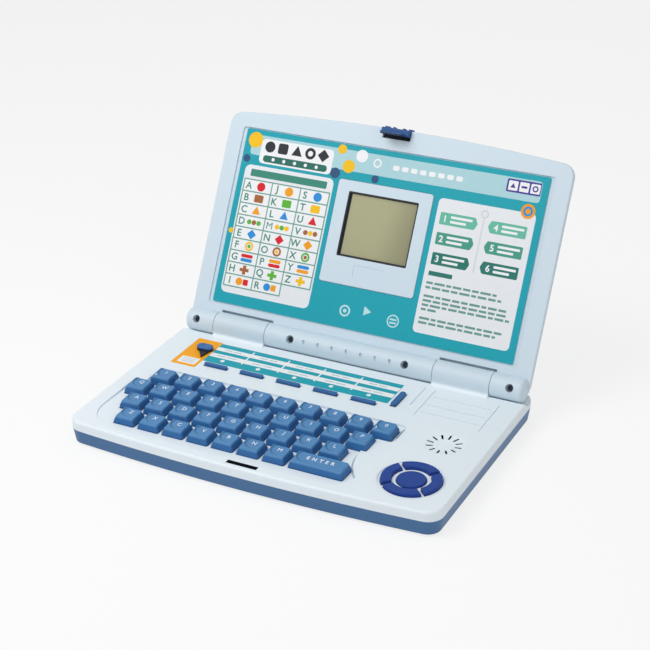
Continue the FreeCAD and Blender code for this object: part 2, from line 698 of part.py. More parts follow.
def base_bottom_tray():
    """Tub with feet, screw columns, board posts, and the battery bay with its sliding door's track."""
    wall_in = TRAY_TAPER * (PARTING_Z - FLOOR_TOP) / (PARTING_Z - FOOT_H) + WALL
    rings = [plan_wire(BASE, wall_in, FLOOR_TOP), plan_wire(BASE, WALL, PARTING_Z)]
    hollow = Part.makeLoft(rings, True, True)
    outside = tray_outside()
    tray = outside.cut(hollow)
    adds = []
    for x, y in BASE_SCREWS:
        adds.append(post(COLUMN_R, x, y, FLOOR_TOP, COLUMN_TOP).common(outside))
    for x, y in BOARD_POSTS:
        adds.append(post(2.5, x, y, FLOOR_TOP, BOARD_Z))
    x0, x1 = BAY_X
    y0, y1 = BAY_Y
    wall = BAY_WALL
    bay = box(x0 - wall, x1 + wall, y0 - wall, y1 + wall, FLOOR_TOP, BAY_TOP)
    adds.append(bay.cut(box(x0, x1, y0, y1, FLOOR_TOP - 1.0, BAY_TOP + 1.0)))
    roof = box(x0 - wall, x1 + wall, y1, BASE.rear, FLOOR_TOP, FLOOR_TOP + wall)
    adds.append(roof.common(outside))
    for x, y in FEET:
        adds.append(post(FOOT_R, x, y, 0.0, FOOT_H))
    tray = fuse([tray] + adds)
    cuts = [door_slot(DOOR_GAP), box(x0 + 1.0, x1 - 1.0, y0 + 1.0, y1 - 1.0, FOOT_H - 1.0, FLOOR_TOP + 1.0)]
    for x, y in BASE_SCREWS:
        cuts.append(post(HEAD_R + 0.4, x, y, FOOT_H - 1.0, HEAD_SEAT))
        cuts.append(post(SHANK_R + 0.35, x, y, HEAD_SEAT - 1.0, COLUMN_TOP + 1.0))
    return tray.cut(cuts)


def battery_door():
    """Door that slides out backwards, with grip grooves near its back edge."""
    door = door_slot(0.0).common(tray_outside())
    grooves = []
    for place in range(4):
        y = BASE.rear - 14.0 - 3.0 * place
        grooves.append(box(DOOR_X - 12.0, DOOR_X + 12.0, y - 0.7, y + 0.7, FOOT_H - 1.0, FOOT_H + 0.6))
    return door.cut(grooves)


def base_screws():
    """Screws that hold the tray to the deck's bosses."""
    screws = []
    for x, y in BASE_SCREWS:
        head = post(HEAD_R, x, y, HEAD_SEAT - HEAD_T, HEAD_SEAT)
        cross = [box(x - 1.6, x + 1.6, y - 0.3, y + 0.3, HEAD_SEAT - HEAD_T - 1.0, HEAD_SEAT - HEAD_T + 0.8),
                 box(x - 0.3, x + 0.3, y - 1.6, y + 1.6, HEAD_SEAT - HEAD_T - 1.0, HEAD_SEAT - HEAD_T + 0.8)]
        screws.append(fuse([head.cut(cross), post(SHANK_R, x, y, HEAD_SEAT, DECK_UNDER - 2.0)]))
    return Part.makeCompound(screws)


def board_plan(z, height, inset):
    """Outline of the circuit board as a block: under the keys, the mode buttons and the pad."""
    keys = box(-112.0 + inset, 66.0, -137.4 + inset, -62.0 - inset, z, z + height)
    modes = box(-98.0 + inset, 58.0 - inset, -64.0, -24.0 - inset, z, z + height)
    pad = box(60.0, 116.0 - inset, -137.4 + inset, -98.0 - inset, z, z + height)
    corner = post(COLUMN_R + 1.0 + inset, BASE_SCREWS[1][0], BASE_SCREWS[1][1], z - 1.0, z + height + 1.0)
    return fuse([keys, modes, pad]).cut(corner)


def circuit_board():
    """Board with its main chip and a few smaller components underneath."""
    board = board_plan(BOARD_Z, BOARD_T, 0.0)
    low = BOARD_Z - 1.8
    chip = post(7.0, -40.0, -95.0, BOARD_Z - 1.2, BOARD_Z)
    parts = [box(x - 2.0, x + 2.0, y - 1.5, y + 1.5, low, BOARD_Z) for x, y in
             ((-20.0, -80.0), (-8.0, -80.0), (4.0, -80.0), (30.0, -110.0), (30.0, -118.0), (80.0, -115.0))]
    return fuse([board, chip] + parts)


def key_mat():
    """Silicone sheet on the board under every button."""
    return board_plan(BOARD_Z + BOARD_T, MAT_T, 2.0)


def speaker():
    """Small round loudspeaker: rim, basket and magnet."""
    x, y = SPEAKER_CENTRE
    rim_low = DECK_UNDER - 1.6
    basket_low = rim_low - 2.6
    rim = post(SPEAKER_R, x, y, rim_low, DECK_UNDER)
    rim = rim.cut(post(SPEAKER_R - 1.6, x, y, rim_low + 0.6, DECK_UNDER + 1.0))
    basket = Part.makeCone(8.5, SPEAKER_R - 1.0, rim_low - basket_low, Vec(x, y, basket_low))
    magnet = post(8.0, x, y, basket_low - 3.2, basket_low)
    return fuse([rim, basket, magnet])


def cell_places():
    """Middle line of each cell."""
    return [CELL_FIRST_Y + place * CELL_PITCH for place in range(3)]


def battery_cells():
    """Three slim cells lying along X, with their raised ends turned in alternate directions."""
    cells = []
    nub = 0.9
    for place, y in enumerate(cell_places()):
        flip = place % 2
        x0 = CELL_X + (nub if flip else 0.0)
        can = bar_x(CELL_R, x0, x0 + CELL_L - nub, y, CELL_Z)
        nub_x = CELL_X if flip else CELL_X + CELL_L - nub
        cells.append(fuse([can, bar_x(1.9, nub_x, nub_x + nub, y, CELL_Z)]))
    return Part.makeCompound(cells)


def battery_contacts():
    """Contact plates at both ends of the bay, with a conical spring at each flat cell end."""
    contacts = []
    plate_t = 0.4
    for place, y in enumerate(cell_places()):
        flip = place % 2
        left = box(BAY_X[0], BAY_X[0] + plate_t, y - 4.0, y + 4.0, CELL_Z - 3.6, CELL_Z + 3.6)
        right = box(BAY_X[1] - plate_t, BAY_X[1], y - 4.0, y + 4.0, CELL_Z - 3.6, CELL_Z + 3.6)
        if flip:
            x = BAY_X[1] - plate_t
            spring = Part.makeCone(3.0, 1.6, x - CELL_X - CELL_L, Vec(x, y, CELL_Z), Vec(-1, 0, 0))
            right = fuse([right, spring])
        else:
            x = BAY_X[0] + plate_t
            spring = Part.makeCone(3.0, 1.6, CELL_X - x, Vec(x, y, CELL_Z), X_AXIS)
            left = fuse([left, spring])
        contacts += [left, right]
    return Part.makeCompound(contacts)


def lid_outside():
    """Outer shape of the closed lid: bowed plate with rounded back edges, and its three barrels."""
    outline = plan_block(LID, 0.0, -BARREL_R - 1.0, LID_BACK)
    outline = outline.makeFillet(LID_BACK_R, edges_at(outline, LID_BACK))
    far = LID.front - 5.0
    start = -LID_SLOPE_START
    reach = math.hypot(start, LID_BACK)
    touch = math.atan2(LID_BACK, start) - math.acos(BARREL_R / reach)
    profile = prism_x([(0.0, 0.0), (0.0, LID_FRONT), (far, LID_FRONT), (far, LID_BACK), (start, LID_BACK),
                       (BARREL_R * math.cos(touch), BARREL_R * math.sin(touch))], -LID.half, LID.half)
    plate = outline.common(profile)
    front_edges = [edge for edge in edges_at(plate, LID_FRONT) if edge.BoundBox.YMin < -BARREL_R - 1.0]
    plate = plate.makeFillet(LID_FRONT_R, front_edges)
    barrel = bar_x(BARREL_R, -BARREL_END, BARREL_END)
    barrel = barrel.makeFillet(BARREL_END_R, [edge for edge in barrel.Edges if edge.BoundBox.XLength < 0.01])
    body = fuse([plate, barrel])
    swing_r = BARREL_R + SWING_GAP
    corner_r = LID.half - BARREL_END
    corner_y = -LID_CORNER_END - corner_r
    corner_low = -BARREL_R - 1.0
    cuts = []
    for side in (-1, 1):
        edge_x = sorted((side * BARREL_END, side * (LID.half + 1.0)))
        corner = box(*edge_x, corner_y, BARREL_R + 1.0, corner_low, LID_BACK + 1.0)
        cuts.append(corner.cut(post(corner_r, side * BARREL_END, corner_y, corner_low - 1.0, LID_BACK + 2.0)))
    for x0, x1 in knuckle_spans():
        left = x0 - KNUCKLE_GAP
        right = x1 + KNUCKLE_GAP
        cuts.append(bar_x(swing_r, left, right))
        cuts.append(box(left, right, -LID_FLANGE, BARREL_R + 5.0, -BARREL_R - 2.0, LID_BACK + 1.0))
        cuts.append(box(left, right, -SLIT_FAR, -LID_FLANGE, LID_FRONT - 1.0, LID_FRONT + SLIT_DEPTH))
        for face in (left, right):
            inward = left - PIN_LEN if face == left else right
            cuts.append(bar_x(PIN_R + PIN_FIT, inward, inward + PIN_LEN))
    return body.cut(cuts)


def front_region():
    """Space that belongs to the lid's front frame: ahead of the split through the barrels and the plate."""
    far = LID.front - 5.0
    low = -BARREL_R - 2.0
    return prism_x([(BARREL_R + 2.0, low), (BARREL_R + 2.0, 0.0), (-BARREL_SPLIT_DEPTH, 0.0),
                    (-BARREL_SPLIT_DEPTH, LID_SPLIT), (far, LID_SPLIT), (far, low)],
                   -LID.half - 1.0, LID.half + 1.0)


def latch_notch(z0, z1):
    """Opening for the latch in the lid's free edge."""
    gap = FIT_GAP
    return box(-LATCH_HALF - gap, LATCH_HALF + gap, LID.front - 4.0, -LATCH_NEAR + 2.3, z0, z1)


def lid_front_frame(outside):
    """Front half of the lid: frame, card pocket, display bezel and the front of the barrels."""
    frame = outside.common(front_region())
    pocket_floor = LID_FRONT + POCKET_DEPTH
    frame = frame.cut(round_block(-POCKET_HALF, POCKET_HALF, -POCKET_FAR, -POCKET_NEAR, 2.0,
                                  LID_FRONT - 1.0, pocket_floor))
    bezel_low = LID_FRONT - BEZEL_PROUD
    bezel = round_block(-BEZEL_HALF, BEZEL_HALF, -BEZEL_FAR, -BEZEL_NEAR, 2.0, bezel_low, pocket_floor)
    bezel = bezel.makeFillet(0.5, edges_at(bezel, bezel_low))
    posts = [post(3.0, x, y, LID_SPLIT, LID_SPLIT + COVER_POST_H) for x, y in COVER_SCREWS]
    frame = fuse([frame, bezel] + posts)
    cuts = [round_block(-WINDOW_HALF, WINDOW_HALF, -WINDOW_FAR, -WINDOW_NEAR, 1.0,
                        bezel_low - 1.0, LID_SPLIT + 1.0)]
    cuts.append(round_block(-PLATE_HALF, PLATE_HALF, -PLATE_FAR, -PLATE_NEAR, 0.8,
                            bezel_low - 1.0, bezel_low + PLATE_DEPTH))
    cuts.append(latch_notch(LID_FRONT - 1.0, LID_SPLIT + 1.0))
    for x in BARREL_SCREW_X:
        cuts.append(post(BARREL_HOLE_R, x, 0.0, -BARREL_R - 1.0, -BARREL_SEAT))
        cuts.append(post(SMALL_SHANK_R + 0.35, x, 0.0, -BARREL_SEAT - 1.0, 1.0))
    cuts.append(bar_x(BARREL_CORE_R, -BARREL_CORE_HALF, BARREL_CORE_HALF))
    vent_w, vent_l = BARREL_VENT_SIZE
    for place in range(BARREL_VENTS):
        x = (place - (BARREL_VENTS - 1) / 2.0) * BARREL_VENT_PITCH
        dent = round_block(-vent_w / 2.0, vent_w / 2.0, -vent_l / 2.0, vent_l / 2.0, vent_w * 0.45,
                           -BARREL_R - 1.0, -BARREL_R + BARREL_VENT_DEPTH)
        dent.rotate(Vec(0, 0, 0), Z_AXIS, BARREL_VENT_SLANT)
        dent.translate(Vec(x, 0, 0))
        cuts.append(dent)
    for x, y in COVER_SCREWS:
        cuts.append(post(SMALL_SHANK_R + SCREW_FIT, x, y, LID_SPLIT - 0.6, LID_SPLIT + COVER_POST_H + 1.0))
    return frame.cut(cuts)


def lid_back_cover(outside):
    """Back half of the lid: hollow cover with a shallow panel, screw seats and the back of the barrels."""
    hollow = plan_block(LID, COVER_WALL, LID_SPLIT - 1.0, LID_BACK - WALL)
    near = -LID_SLOPE_START - 3.0
    hollow = hollow.common(box(-LID.half, LID.half, LID.front, near, LID_SPLIT - 2.0, LID_BACK))
    cover = outside.cut([front_region(), hollow])
    seat_low = LID_SPLIT + COVER_POST_H + SCREW_FIT
    seats = [post(4.0, x, y, seat_low, LID_BACK - 1.0) for x, y in COVER_SCREWS]
    cover = fuse([cover] + seats)
    cuts = [latch_notch(LID_SPLIT - 1.0, LID_BACK - WALL - 0.1)]
    cuts.append(bar_x(BARREL_CORE_R, -BARREL_CORE_HALF, BARREL_CORE_HALF))
    panel = round_block(-86.0, 86.0, -122.0, -38.0, 12.0, LID_BACK - 0.6, LID_BACK + 1.0)
    cuts.append(panel)
    for x in BARREL_SCREW_X:
        cuts.append(post(SMALL_SHANK_R + SCREW_FIT, x, 0.0, -1.0, 6.0))
    for x, y in COVER_SCREWS:
        cuts.append(post(SMALL_HEAD_R + 0.5, x, y, LID_BACK - 1.8, LID_BACK + 1.0))
        cuts.append(post(SMALL_SHANK_R + 0.35, x, y, LID_SPLIT, LID_BACK))
    return cover.cut(cuts)


def picture_card():
    """Thin printed card in the lid's pocket, with an opening for the display bezel."""
    top = LID_FRONT + POCKET_DEPTH
    gap = 0.25
    card = round_block(-CARD_HALF, CARD_HALF, -CARD_FAR, -CARD_NEAR, 1.0, top - CARD_T, top)
    return card.cut(round_block(-BEZEL_HALF - gap, BEZEL_HALF + gap, -BEZEL_FAR - gap, -BEZEL_NEAR + gap, 2.0,
                                top - 2.0, top + 1.0))


def lcd_module():
    """Display glass that looks out through the window, on its backing plate."""
    margin = DISPLAY_MARGIN
    gap = 0.3
    glass = box(-WINDOW_HALF + gap, WINDOW_HALF - gap, -WINDOW_FAR + gap, -WINDOW_NEAR - gap,
                LID_FRONT + DISPLAY_SET_BACK, LID_SPLIT)
    plate = box(-WINDOW_HALF - margin, WINDOW_HALF + margin, -WINDOW_FAR - margin, -WINDOW_NEAR + margin,
                LID_SPLIT, LID_SPLIT + DISPLAY_T)
    return fuse([glass, plate])


def small_screw(x, y, seat, out):
    """Lid screw with a crossed head: its seat's level, and the direction its head faces along Z."""
    head_t = 1.2
    lift = Vec(0, 0, out)
    head = Part.makeCylinder(SMALL_HEAD_R, head_t, Vec(x, y, seat), lift)
    shank_l = 9.0 if out < 0 else 3.6
    shank = Part.makeCylinder(SMALL_SHANK_R, shank_l, Vec(x, y, seat), lift * -1)
    face = seat + out * head_t
    cross = [box(x - 1.2, x + 1.2, y - 0.25, y + 0.25, face - 0.5, face + 0.5),
             box(x - 0.25, x + 0.25, y - 1.2, y + 1.2, face - 0.5, face + 0.5)]
    return fuse([head.cut(cross), shank])


def lid_screws():
    """Screws in the barrels from the front, and in the cover from the back."""
    screws = [small_screw(x, 0.0, -BARREL_SEAT, -1) for x in BARREL_SCREW_X]
    screws += [small_screw(x, y, LID_BACK - 1.8, 1) for x, y in COVER_SCREWS]
    return Part.makeCompound(screws)


def lid_latch():
    """Sliding latch: ribbed thumb block, guide flange inside the lid, and a hook for the deck's slot."""
    low = LID_FRONT - LATCH_PROUD
    tip = LID_FRONT - HOOK_LEN
    half = LATCH_HALF
    inside_top = LID_BACK - WALL - 0.6
    block = box(-half, half, -LATCH_FAR, -LATCH_NEAR, low, inside_top)
    front_edges = [edge for edge in edges_at(block, low) if edge.BoundBox.XLength > half]
    block = block.makeFillet(1.2, front_edges[:2])
    hook = box(-HOOK_HALF, HOOK_HALF, -LATCH_NEAR - HOOK_T, -LATCH_NEAR, tip, low + 1.5)
    nose = box(-HOOK_HALF, HOOK_HALF, -LATCH_NEAR - HOOK_T, -LATCH_NEAR + NOSE, tip, tip + NOSE_T)
    guide_low = LID_SPLIT + 0.4
    guide = box(-half - 2.5, half + 2.5, -LATCH_NEAR - 0.2, -LATCH_NEAR + 2.0, guide_low, guide_low + 2.0)
    shapes = [block, hook, nose, guide]
    for x, width in RIBS:
        shapes.append(box(x - width / 2.0, x + width / 2.0, -RIB_TOP, -LATCH_FAR + 0.5, LID_FRONT + 1.4,
                          LID_FRONT + 4.6))
    return fuse(shapes)


def all_pieces():
    """Every piece by its node name, in the drawing frame."""
    pieces = {"base_top_shell": base_top_shell(), "base_bottom_tray": base_bottom_tray()}
    pieces["circuit_board"] = circuit_board()
    pieces["key_mat"] = key_mat()
    pieces["speaker"] = speaker()
    pieces["battery_cells"] = battery_cells()
    pieces["battery_contacts"] = battery_contacts()
    pieces["battery_door"] = battery_door()
    pieces["base_screws"] = base_screws()
    for name, x0, x1, y in key_blocks():
        pieces[name] = key_cap(x0, x1, y)
    pieces.update(pad_buttons())
    pieces["mode_button_strip"] = mode_comb()
    pieces["side_mode_button"] = side_mode_button()
    pieces["power_slider"] = power_slider()
    outside = lid_outside()
    lid = {"lid_front_frame": lid_front_frame(outside), "lid_back_cover": lid_back_cover(outside)}
    lid["picture_card"] = picture_card()
    lid["lcd_module"] = lcd_module()
    lid["lid_screws"] = lid_screws()
    lid["lid_latch"] = lid_latch()
    for name, shape in lid.items():
        pieces[name] = open_lid(shape)
    return pieces


def main():
    """Builds every piece, moves it to the object's frame and writes it."""
    os.makedirs("parts", exist_ok=True)
    for name, shape in all_pieces().items():
        shape.translate(FRAME_SHIFT)
        if not shape.isValid():
            raise RuntimeError(name + " isn't a valid solid")
        shape.exportStep("parts/" + name + ".step")


main()
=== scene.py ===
"""Looks of the toy laptop computer: finishes for its moulded pieces, the printed card and labels,
the key legends, the display, and a plain stage."""

import json
import math

import bmesh
import bpy
from bpy.props import FloatProperty, FloatVectorProperty, PointerProperty
from mathutils import Matrix, Vector


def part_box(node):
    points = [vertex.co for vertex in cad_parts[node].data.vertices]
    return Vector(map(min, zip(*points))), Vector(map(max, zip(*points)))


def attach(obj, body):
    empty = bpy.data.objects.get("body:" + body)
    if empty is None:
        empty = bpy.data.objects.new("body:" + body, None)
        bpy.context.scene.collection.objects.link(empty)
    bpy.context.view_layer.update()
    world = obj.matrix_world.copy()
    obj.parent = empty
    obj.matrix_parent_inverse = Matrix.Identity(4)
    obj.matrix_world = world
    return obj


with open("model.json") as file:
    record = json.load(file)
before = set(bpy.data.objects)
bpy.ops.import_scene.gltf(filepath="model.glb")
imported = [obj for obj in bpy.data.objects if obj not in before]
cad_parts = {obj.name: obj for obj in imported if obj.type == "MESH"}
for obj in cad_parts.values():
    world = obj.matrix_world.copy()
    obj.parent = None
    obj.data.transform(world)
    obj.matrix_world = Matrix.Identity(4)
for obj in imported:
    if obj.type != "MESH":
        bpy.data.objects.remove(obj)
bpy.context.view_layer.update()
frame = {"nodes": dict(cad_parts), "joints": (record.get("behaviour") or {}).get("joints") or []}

bl_info = {
    "name": "Toy Laptop Looks",
    "version": (1, 0, 0),
    "blender": (4, 5, 0),
    "location": "View3D > Sidebar > Toy Laptop",
    "description": "Dresses the packed toy laptop computer with finishes, prints, legends and a stage",
    "category": "Object",
}

MM = 0.001
NODES = frame["nodes"]
HINGE = next(joint for joint in frame["joints"] if joint["name"] == "lid_hinge")
HINGE_PLACE = Vector(HINGE["pos_m"])
LEAN = math.radians(HINGE["range_deg"][1] - 90.0)
LID_UP = Vector((0.0, math.sin(LEAN), math.cos(LEAN)))
LID_OUT = Vector((0.0, -math.cos(LEAN), math.sin(LEAN)))
KEY_LETTERS = "1234567890qwertyuiopasdfghjklzxcvbnm"
ROW_STARTS = "1qaz"
PAD_NODES = ("pad_right", "pad_up", "pad_left", "pad_down", "pad_centre")

# Depths behind the hinge axis, square to the lid, in millimetres
CARD_FACE = -2.06
GLASS_FACE = -3.26
BEZEL_FACE = -1.46

# Height of the deck above the floor
DECK = HINGE_PLACE.z - 5.5 * MM

# Hollow in a key's top: its middle from the key's middle, its rim, its sloping wall and its depth
HOLLOW_AT = (0.6 * MM, 2.2 * MM)
HOLLOW_RIM = 6.2 * MM
HOLLOW_WALL = 1.3 * MM
HOLLOW_DEPTH = 0.55 * MM

# Thickness of a printed film, in millimetres
FILM = 0.05


def tint(code):
    """Linear colour of a six-digit colour code."""
    parts = [int(code[place:place + 2], 16) / 255.0 for place in (0, 2, 4)]
    return tuple(part / 12.92 if part <= 0.04045 else ((part + 0.055) / 1.055) ** 2.4 for part in parts)


def colour_value(name, description, code):
    """Colour setting with its default given as a code."""
    return FloatVectorProperty(name=name, description=description, default=tint(code), subtype="COLOR",
                               size=3, min=0.0, max=1.0)


class LAPTOP_PG_plastics(bpy.types.PropertyGroup):
    """Colours of the moulded pieces."""

    deck: colour_value("Deck", "Pale plastic of the base's upper half", "E8F2F8")
    lid: colour_value("Lid", "Pale plastic of both lid halves", "CFDFEA")
    tray: colour_value("Tray", "Blue plastic of the base's lower half", "3F6C9B")
    key_top: colour_value("Key tops", "Blue of the key caps' upper faces", "5086B9")
    key_side: colour_value("Key sides", "Deeper blue of the key caps' sides", "30669F")
    pad: colour_value("Direction pad", "Deep blue of the direction pad", "1F4090")
    slider: colour_value("Power slider", "Blue of the power slider's knob", "3D6BA8")
    dark: colour_value("Dark parts", "Near-black blue of the pointer and of shaded openings", "171D26")
    latch: colour_value("Latch", "Dark blue of the lid latch", "25538E")


class LAPTOP_PG_prints(bpy.types.PropertyGroup):
    """Colours of the printed inks and of the display."""

    ground: colour_value("Card ground", "Teal ground of the picture card", "1FA3B3")
    band: colour_value("Title band", "Light band along the card's top", "AFD5DC")
    paper: colour_value("White ink", "White of panels, lines and legends", "F2F3F5")
    orange: colour_value("Orange ink", "Orange of the power label", "F9AA0C")
    green: colour_value("Green ink", "Green of rules and headings", "3E8878")
    display: colour_value("Display", "Grey-green of the display's face", "ABA985")
    legend_height: FloatProperty(name="Legend size", description="Height of a key legend's type",
                                 default=4.2 * MM, unit="LENGTH")


class LAPTOP_PG_stage(bpy.types.PropertyGroup):
    """Light and floor of the stage."""

    key_power: FloatProperty(name="Key light", description="Power of the soft light above", default=3.8,
                             min=0.0)
    fill_power: FloatProperty(name="Fill light", description="Power of the light at the right",
                              default=2.6, min=0.0)
    sky: FloatProperty(name="Sky", description="Strength of the even light from all round", default=0.46,
                       min=0.0)
    floor_size: FloatProperty(name="Floor", description="Width of the floor", default=8.0, unit="LENGTH")


class Paint:
    """Socket of a material's nodes that takes part in Python sums."""

    def __init__(self, tree, socket):
        self.tree = tree
        self.socket = socket

    def node(self, kind, settings=None, sockets=None, out=0):
        """Adds a node of any kind: its settings first, then the values or links of its sockets."""
        made = self.tree.nodes.new(kind)
        for name, value in (settings or {}).items():
            setattr(made, name, value)
        for name, value in (sockets or {}).items():
            if isinstance(value, Paint):
                self.tree.links.new(value.socket, made.inputs[name])
            else:
                made.inputs[name].default_value = value
        return Paint(self.tree, made.outputs[out])

    def maths(self, operation, *values):
        """Adds a Math node on values or sockets."""
        return self.node("ShaderNodeMath", {"operation": operation}, dict(enumerate(values)))

    def __add__(self, other):
        return self.maths("ADD", self, other)

    __radd__ = __add__

    def __mul__(self, other):
        return self.maths("MULTIPLY", self, other)

    __rmul__ = __mul__

    def __sub__(self, other):
        return self.maths("SUBTRACT", self, other)

    def __rsub__(self, other):
        return self.maths("SUBTRACT", other, self)

    def __lt__(self, level):
        return self.maths("LESS_THAN", self, level)

    def wrap(self, step):
        """Distance of this value from the nearest multiple of a step."""
        return self.maths("WRAP", self, step / 2.0, -step / 2.0)

    def between(self, low, high):
        """Smooth step of this value from 0 at low to 1 at high."""
        return self.node("ShaderNodeMapRange", {"interpolation_type": "SMOOTHSTEP"},
                         {"Value": self, "From Min": low, "From Max": high})

    def beyond(self, inner, outer):
        """Smooth step of this squared distance from 0 at an inner distance to 1 at an outer one."""
        return self.between(inner ** 2, outer ** 2)

    def blend(self, first, second):
        """Mix of two colours by this value."""
        mixed = {0: self, 6: first if isinstance(first, Paint) else (*first, 1.0),
                 7: second if isinstance(second, Paint) else (*second, 1.0)}
        return self.node("ShaderNodeMix", {"data_type": "RGBA"}, mixed, out=2)

    def noise(self, scale, detail=2.0):
        """Cloudy value of these coordinates, with its blotches one over scale metres wide."""
        return self.node("ShaderNodeTexNoise", {}, {"Vector": self, "Scale": scale, "Detail": detail})

    def axis(self, name):
        """One coordinate of this vector."""
        return self.node("ShaderNodeSeparateXYZ", {}, {0: self}, out="XYZ".index(name))


class Finish:
    """New material with its shader, and Object coordinates to draw patterns from."""

    def __init__(self, name):
        self.material = bpy.data.materials.new(name)
        self.material.use_nodes = True
        self.tree = self.material.node_tree
        self.shader = self.tree.nodes["Principled BSDF"]
        self.place = Paint(self.tree, self.tree.nodes.new("ShaderNodeTexCoord").outputs["Object"])

    def set(self, **values):
        """Sets or links the shader's sockets, named with _ for a space."""
        for name, value in values.items():
            socket = self.shader.inputs[name.replace("_", " ")]
            if isinstance(value, Paint):
                self.tree.links.new(value.socket, socket)
            else:
                socket.default_value = value
        return self

    def grain(self, height, strength, distance):
        """Bumps the surface by a height pattern."""
        values = {"Height": height, "Strength": strength, "Distance": distance}
        return self.set(Normal=height.node("ShaderNodeBump", {}, values))


def shaded(colour, share):
    """Colour made darker or lighter by a share."""
    return tuple(min(1.0, part * share) for part in colour)


def moulded(name, colour, roughness=0.42, grain=0.12, cloud=0.05, shine=0.4):
    """Moulded plastic: faint flow clouds in its colour, and a fine satin grain."""
    finish = Finish(name)
    clouds = finish.place.noise(16.0, 3.0)
    satin = finish.place.noise(2600.0, 1.0)
    colours = clouds.blend(shaded(colour, 1.0 - cloud), shaded(colour, 1.0 + cloud))
    finish.set(Base_Color=colours, Roughness=roughness - 0.06 + 0.12 * satin, Specular_IOR_Level=shine)
    finish.grain(satin, grain, 0.06 * MM)
    return finish.material


def two_tone(name, side, top, heights, roughness, up=(0.0, 0.0, 1.0), shade=None):
    """Moulded plastic that changes from a deeper shade to its top shade between two heights.

    The heights are measured along the direction up. A shade is a function that draws, from the
    coordinates, where painted shade makes the top deeper too.
    """
    finish = Finish(name)
    along = finish.place.node("ShaderNodeVectorMath", {"operation": "DOT_PRODUCT"},
                              {0: finish.place, 1: up}, out=1)
    satin = finish.place.noise(2400.0, 1.0)
    clouds = finish.place.noise(60.0, 2.0)
    tops = clouds.blend(shaded(top, 0.96), shaded(top, 1.04))
    if shade:
        tops = shade(finish.place).blend(tops, shaded(top, 0.66))
    finish.set(Base_Color=along.between(*heights).blend(side, tops),
               Roughness=roughness - 0.05 + 0.1 * satin, Specular_IOR_Level=0.25)
    finish.grain(satin, 0.1, 0.05 * MM)
    return finish.material


def ink(name, colour, roughness=0.45):
    """Printed ink film with a faint uneven lay."""
    finish = Finish(name)
    lay = finish.place.noise(220.0, 2.0)
    finish.set(Base_Color=lay.blend(shaded(colour, 0.97), shaded(colour, 1.02)),
               Roughness=roughness - 0.04 + 0.08 * lay, Specular_IOR_Level=0.2)
    return finish.material


def plated(name, colour, roughness):
    """Plated metal with fine turning lines and a little tarnish."""
    finish = Finish(name)
    lines = finish.place.noise(1800.0, 2.0)
    tarnish = finish.place.noise(300.0, 3.0)
    finish.set(Base_Color=tarnish.blend(shaded(colour, 0.8), colour), Metallic=1.0,
               Roughness=roughness + 0.15 * lines)
    finish.grain(lines, 0.08, 0.03 * MM)
    return finish.material


def dress(material, *names):
    """Puts a material on carried-over pieces."""
    for name in names:
        NODES[name].data.materials[0] = material


def middle_of(name):
    """Middle of a carried-over piece's box."""
    low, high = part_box(name)
    return (low + high) / 2.0


def lid_matrix(depth):
    """Places a flat drawing (x, distance from the hinge, height) on the open lid at a depth."""
    turn = Matrix((Vector((1.0, 0.0, 0.0)), LID_UP, LID_OUT)).transposed().to_4x4()
    return Matrix.Translation(HINGE_PLACE + LID_OUT * depth * MM) @ turn @ Matrix.Scale(MM, 4)


def deck_matrix(depth=0.0):
    """Places a flat drawing (x, distance behind the hinge, height) on the deck or at a depth below it."""
    return Matrix.Translation((HINGE_PLACE.x, HINGE_PLACE.y, DECK - depth * MM)) @ Matrix.Scale(MM, 4)


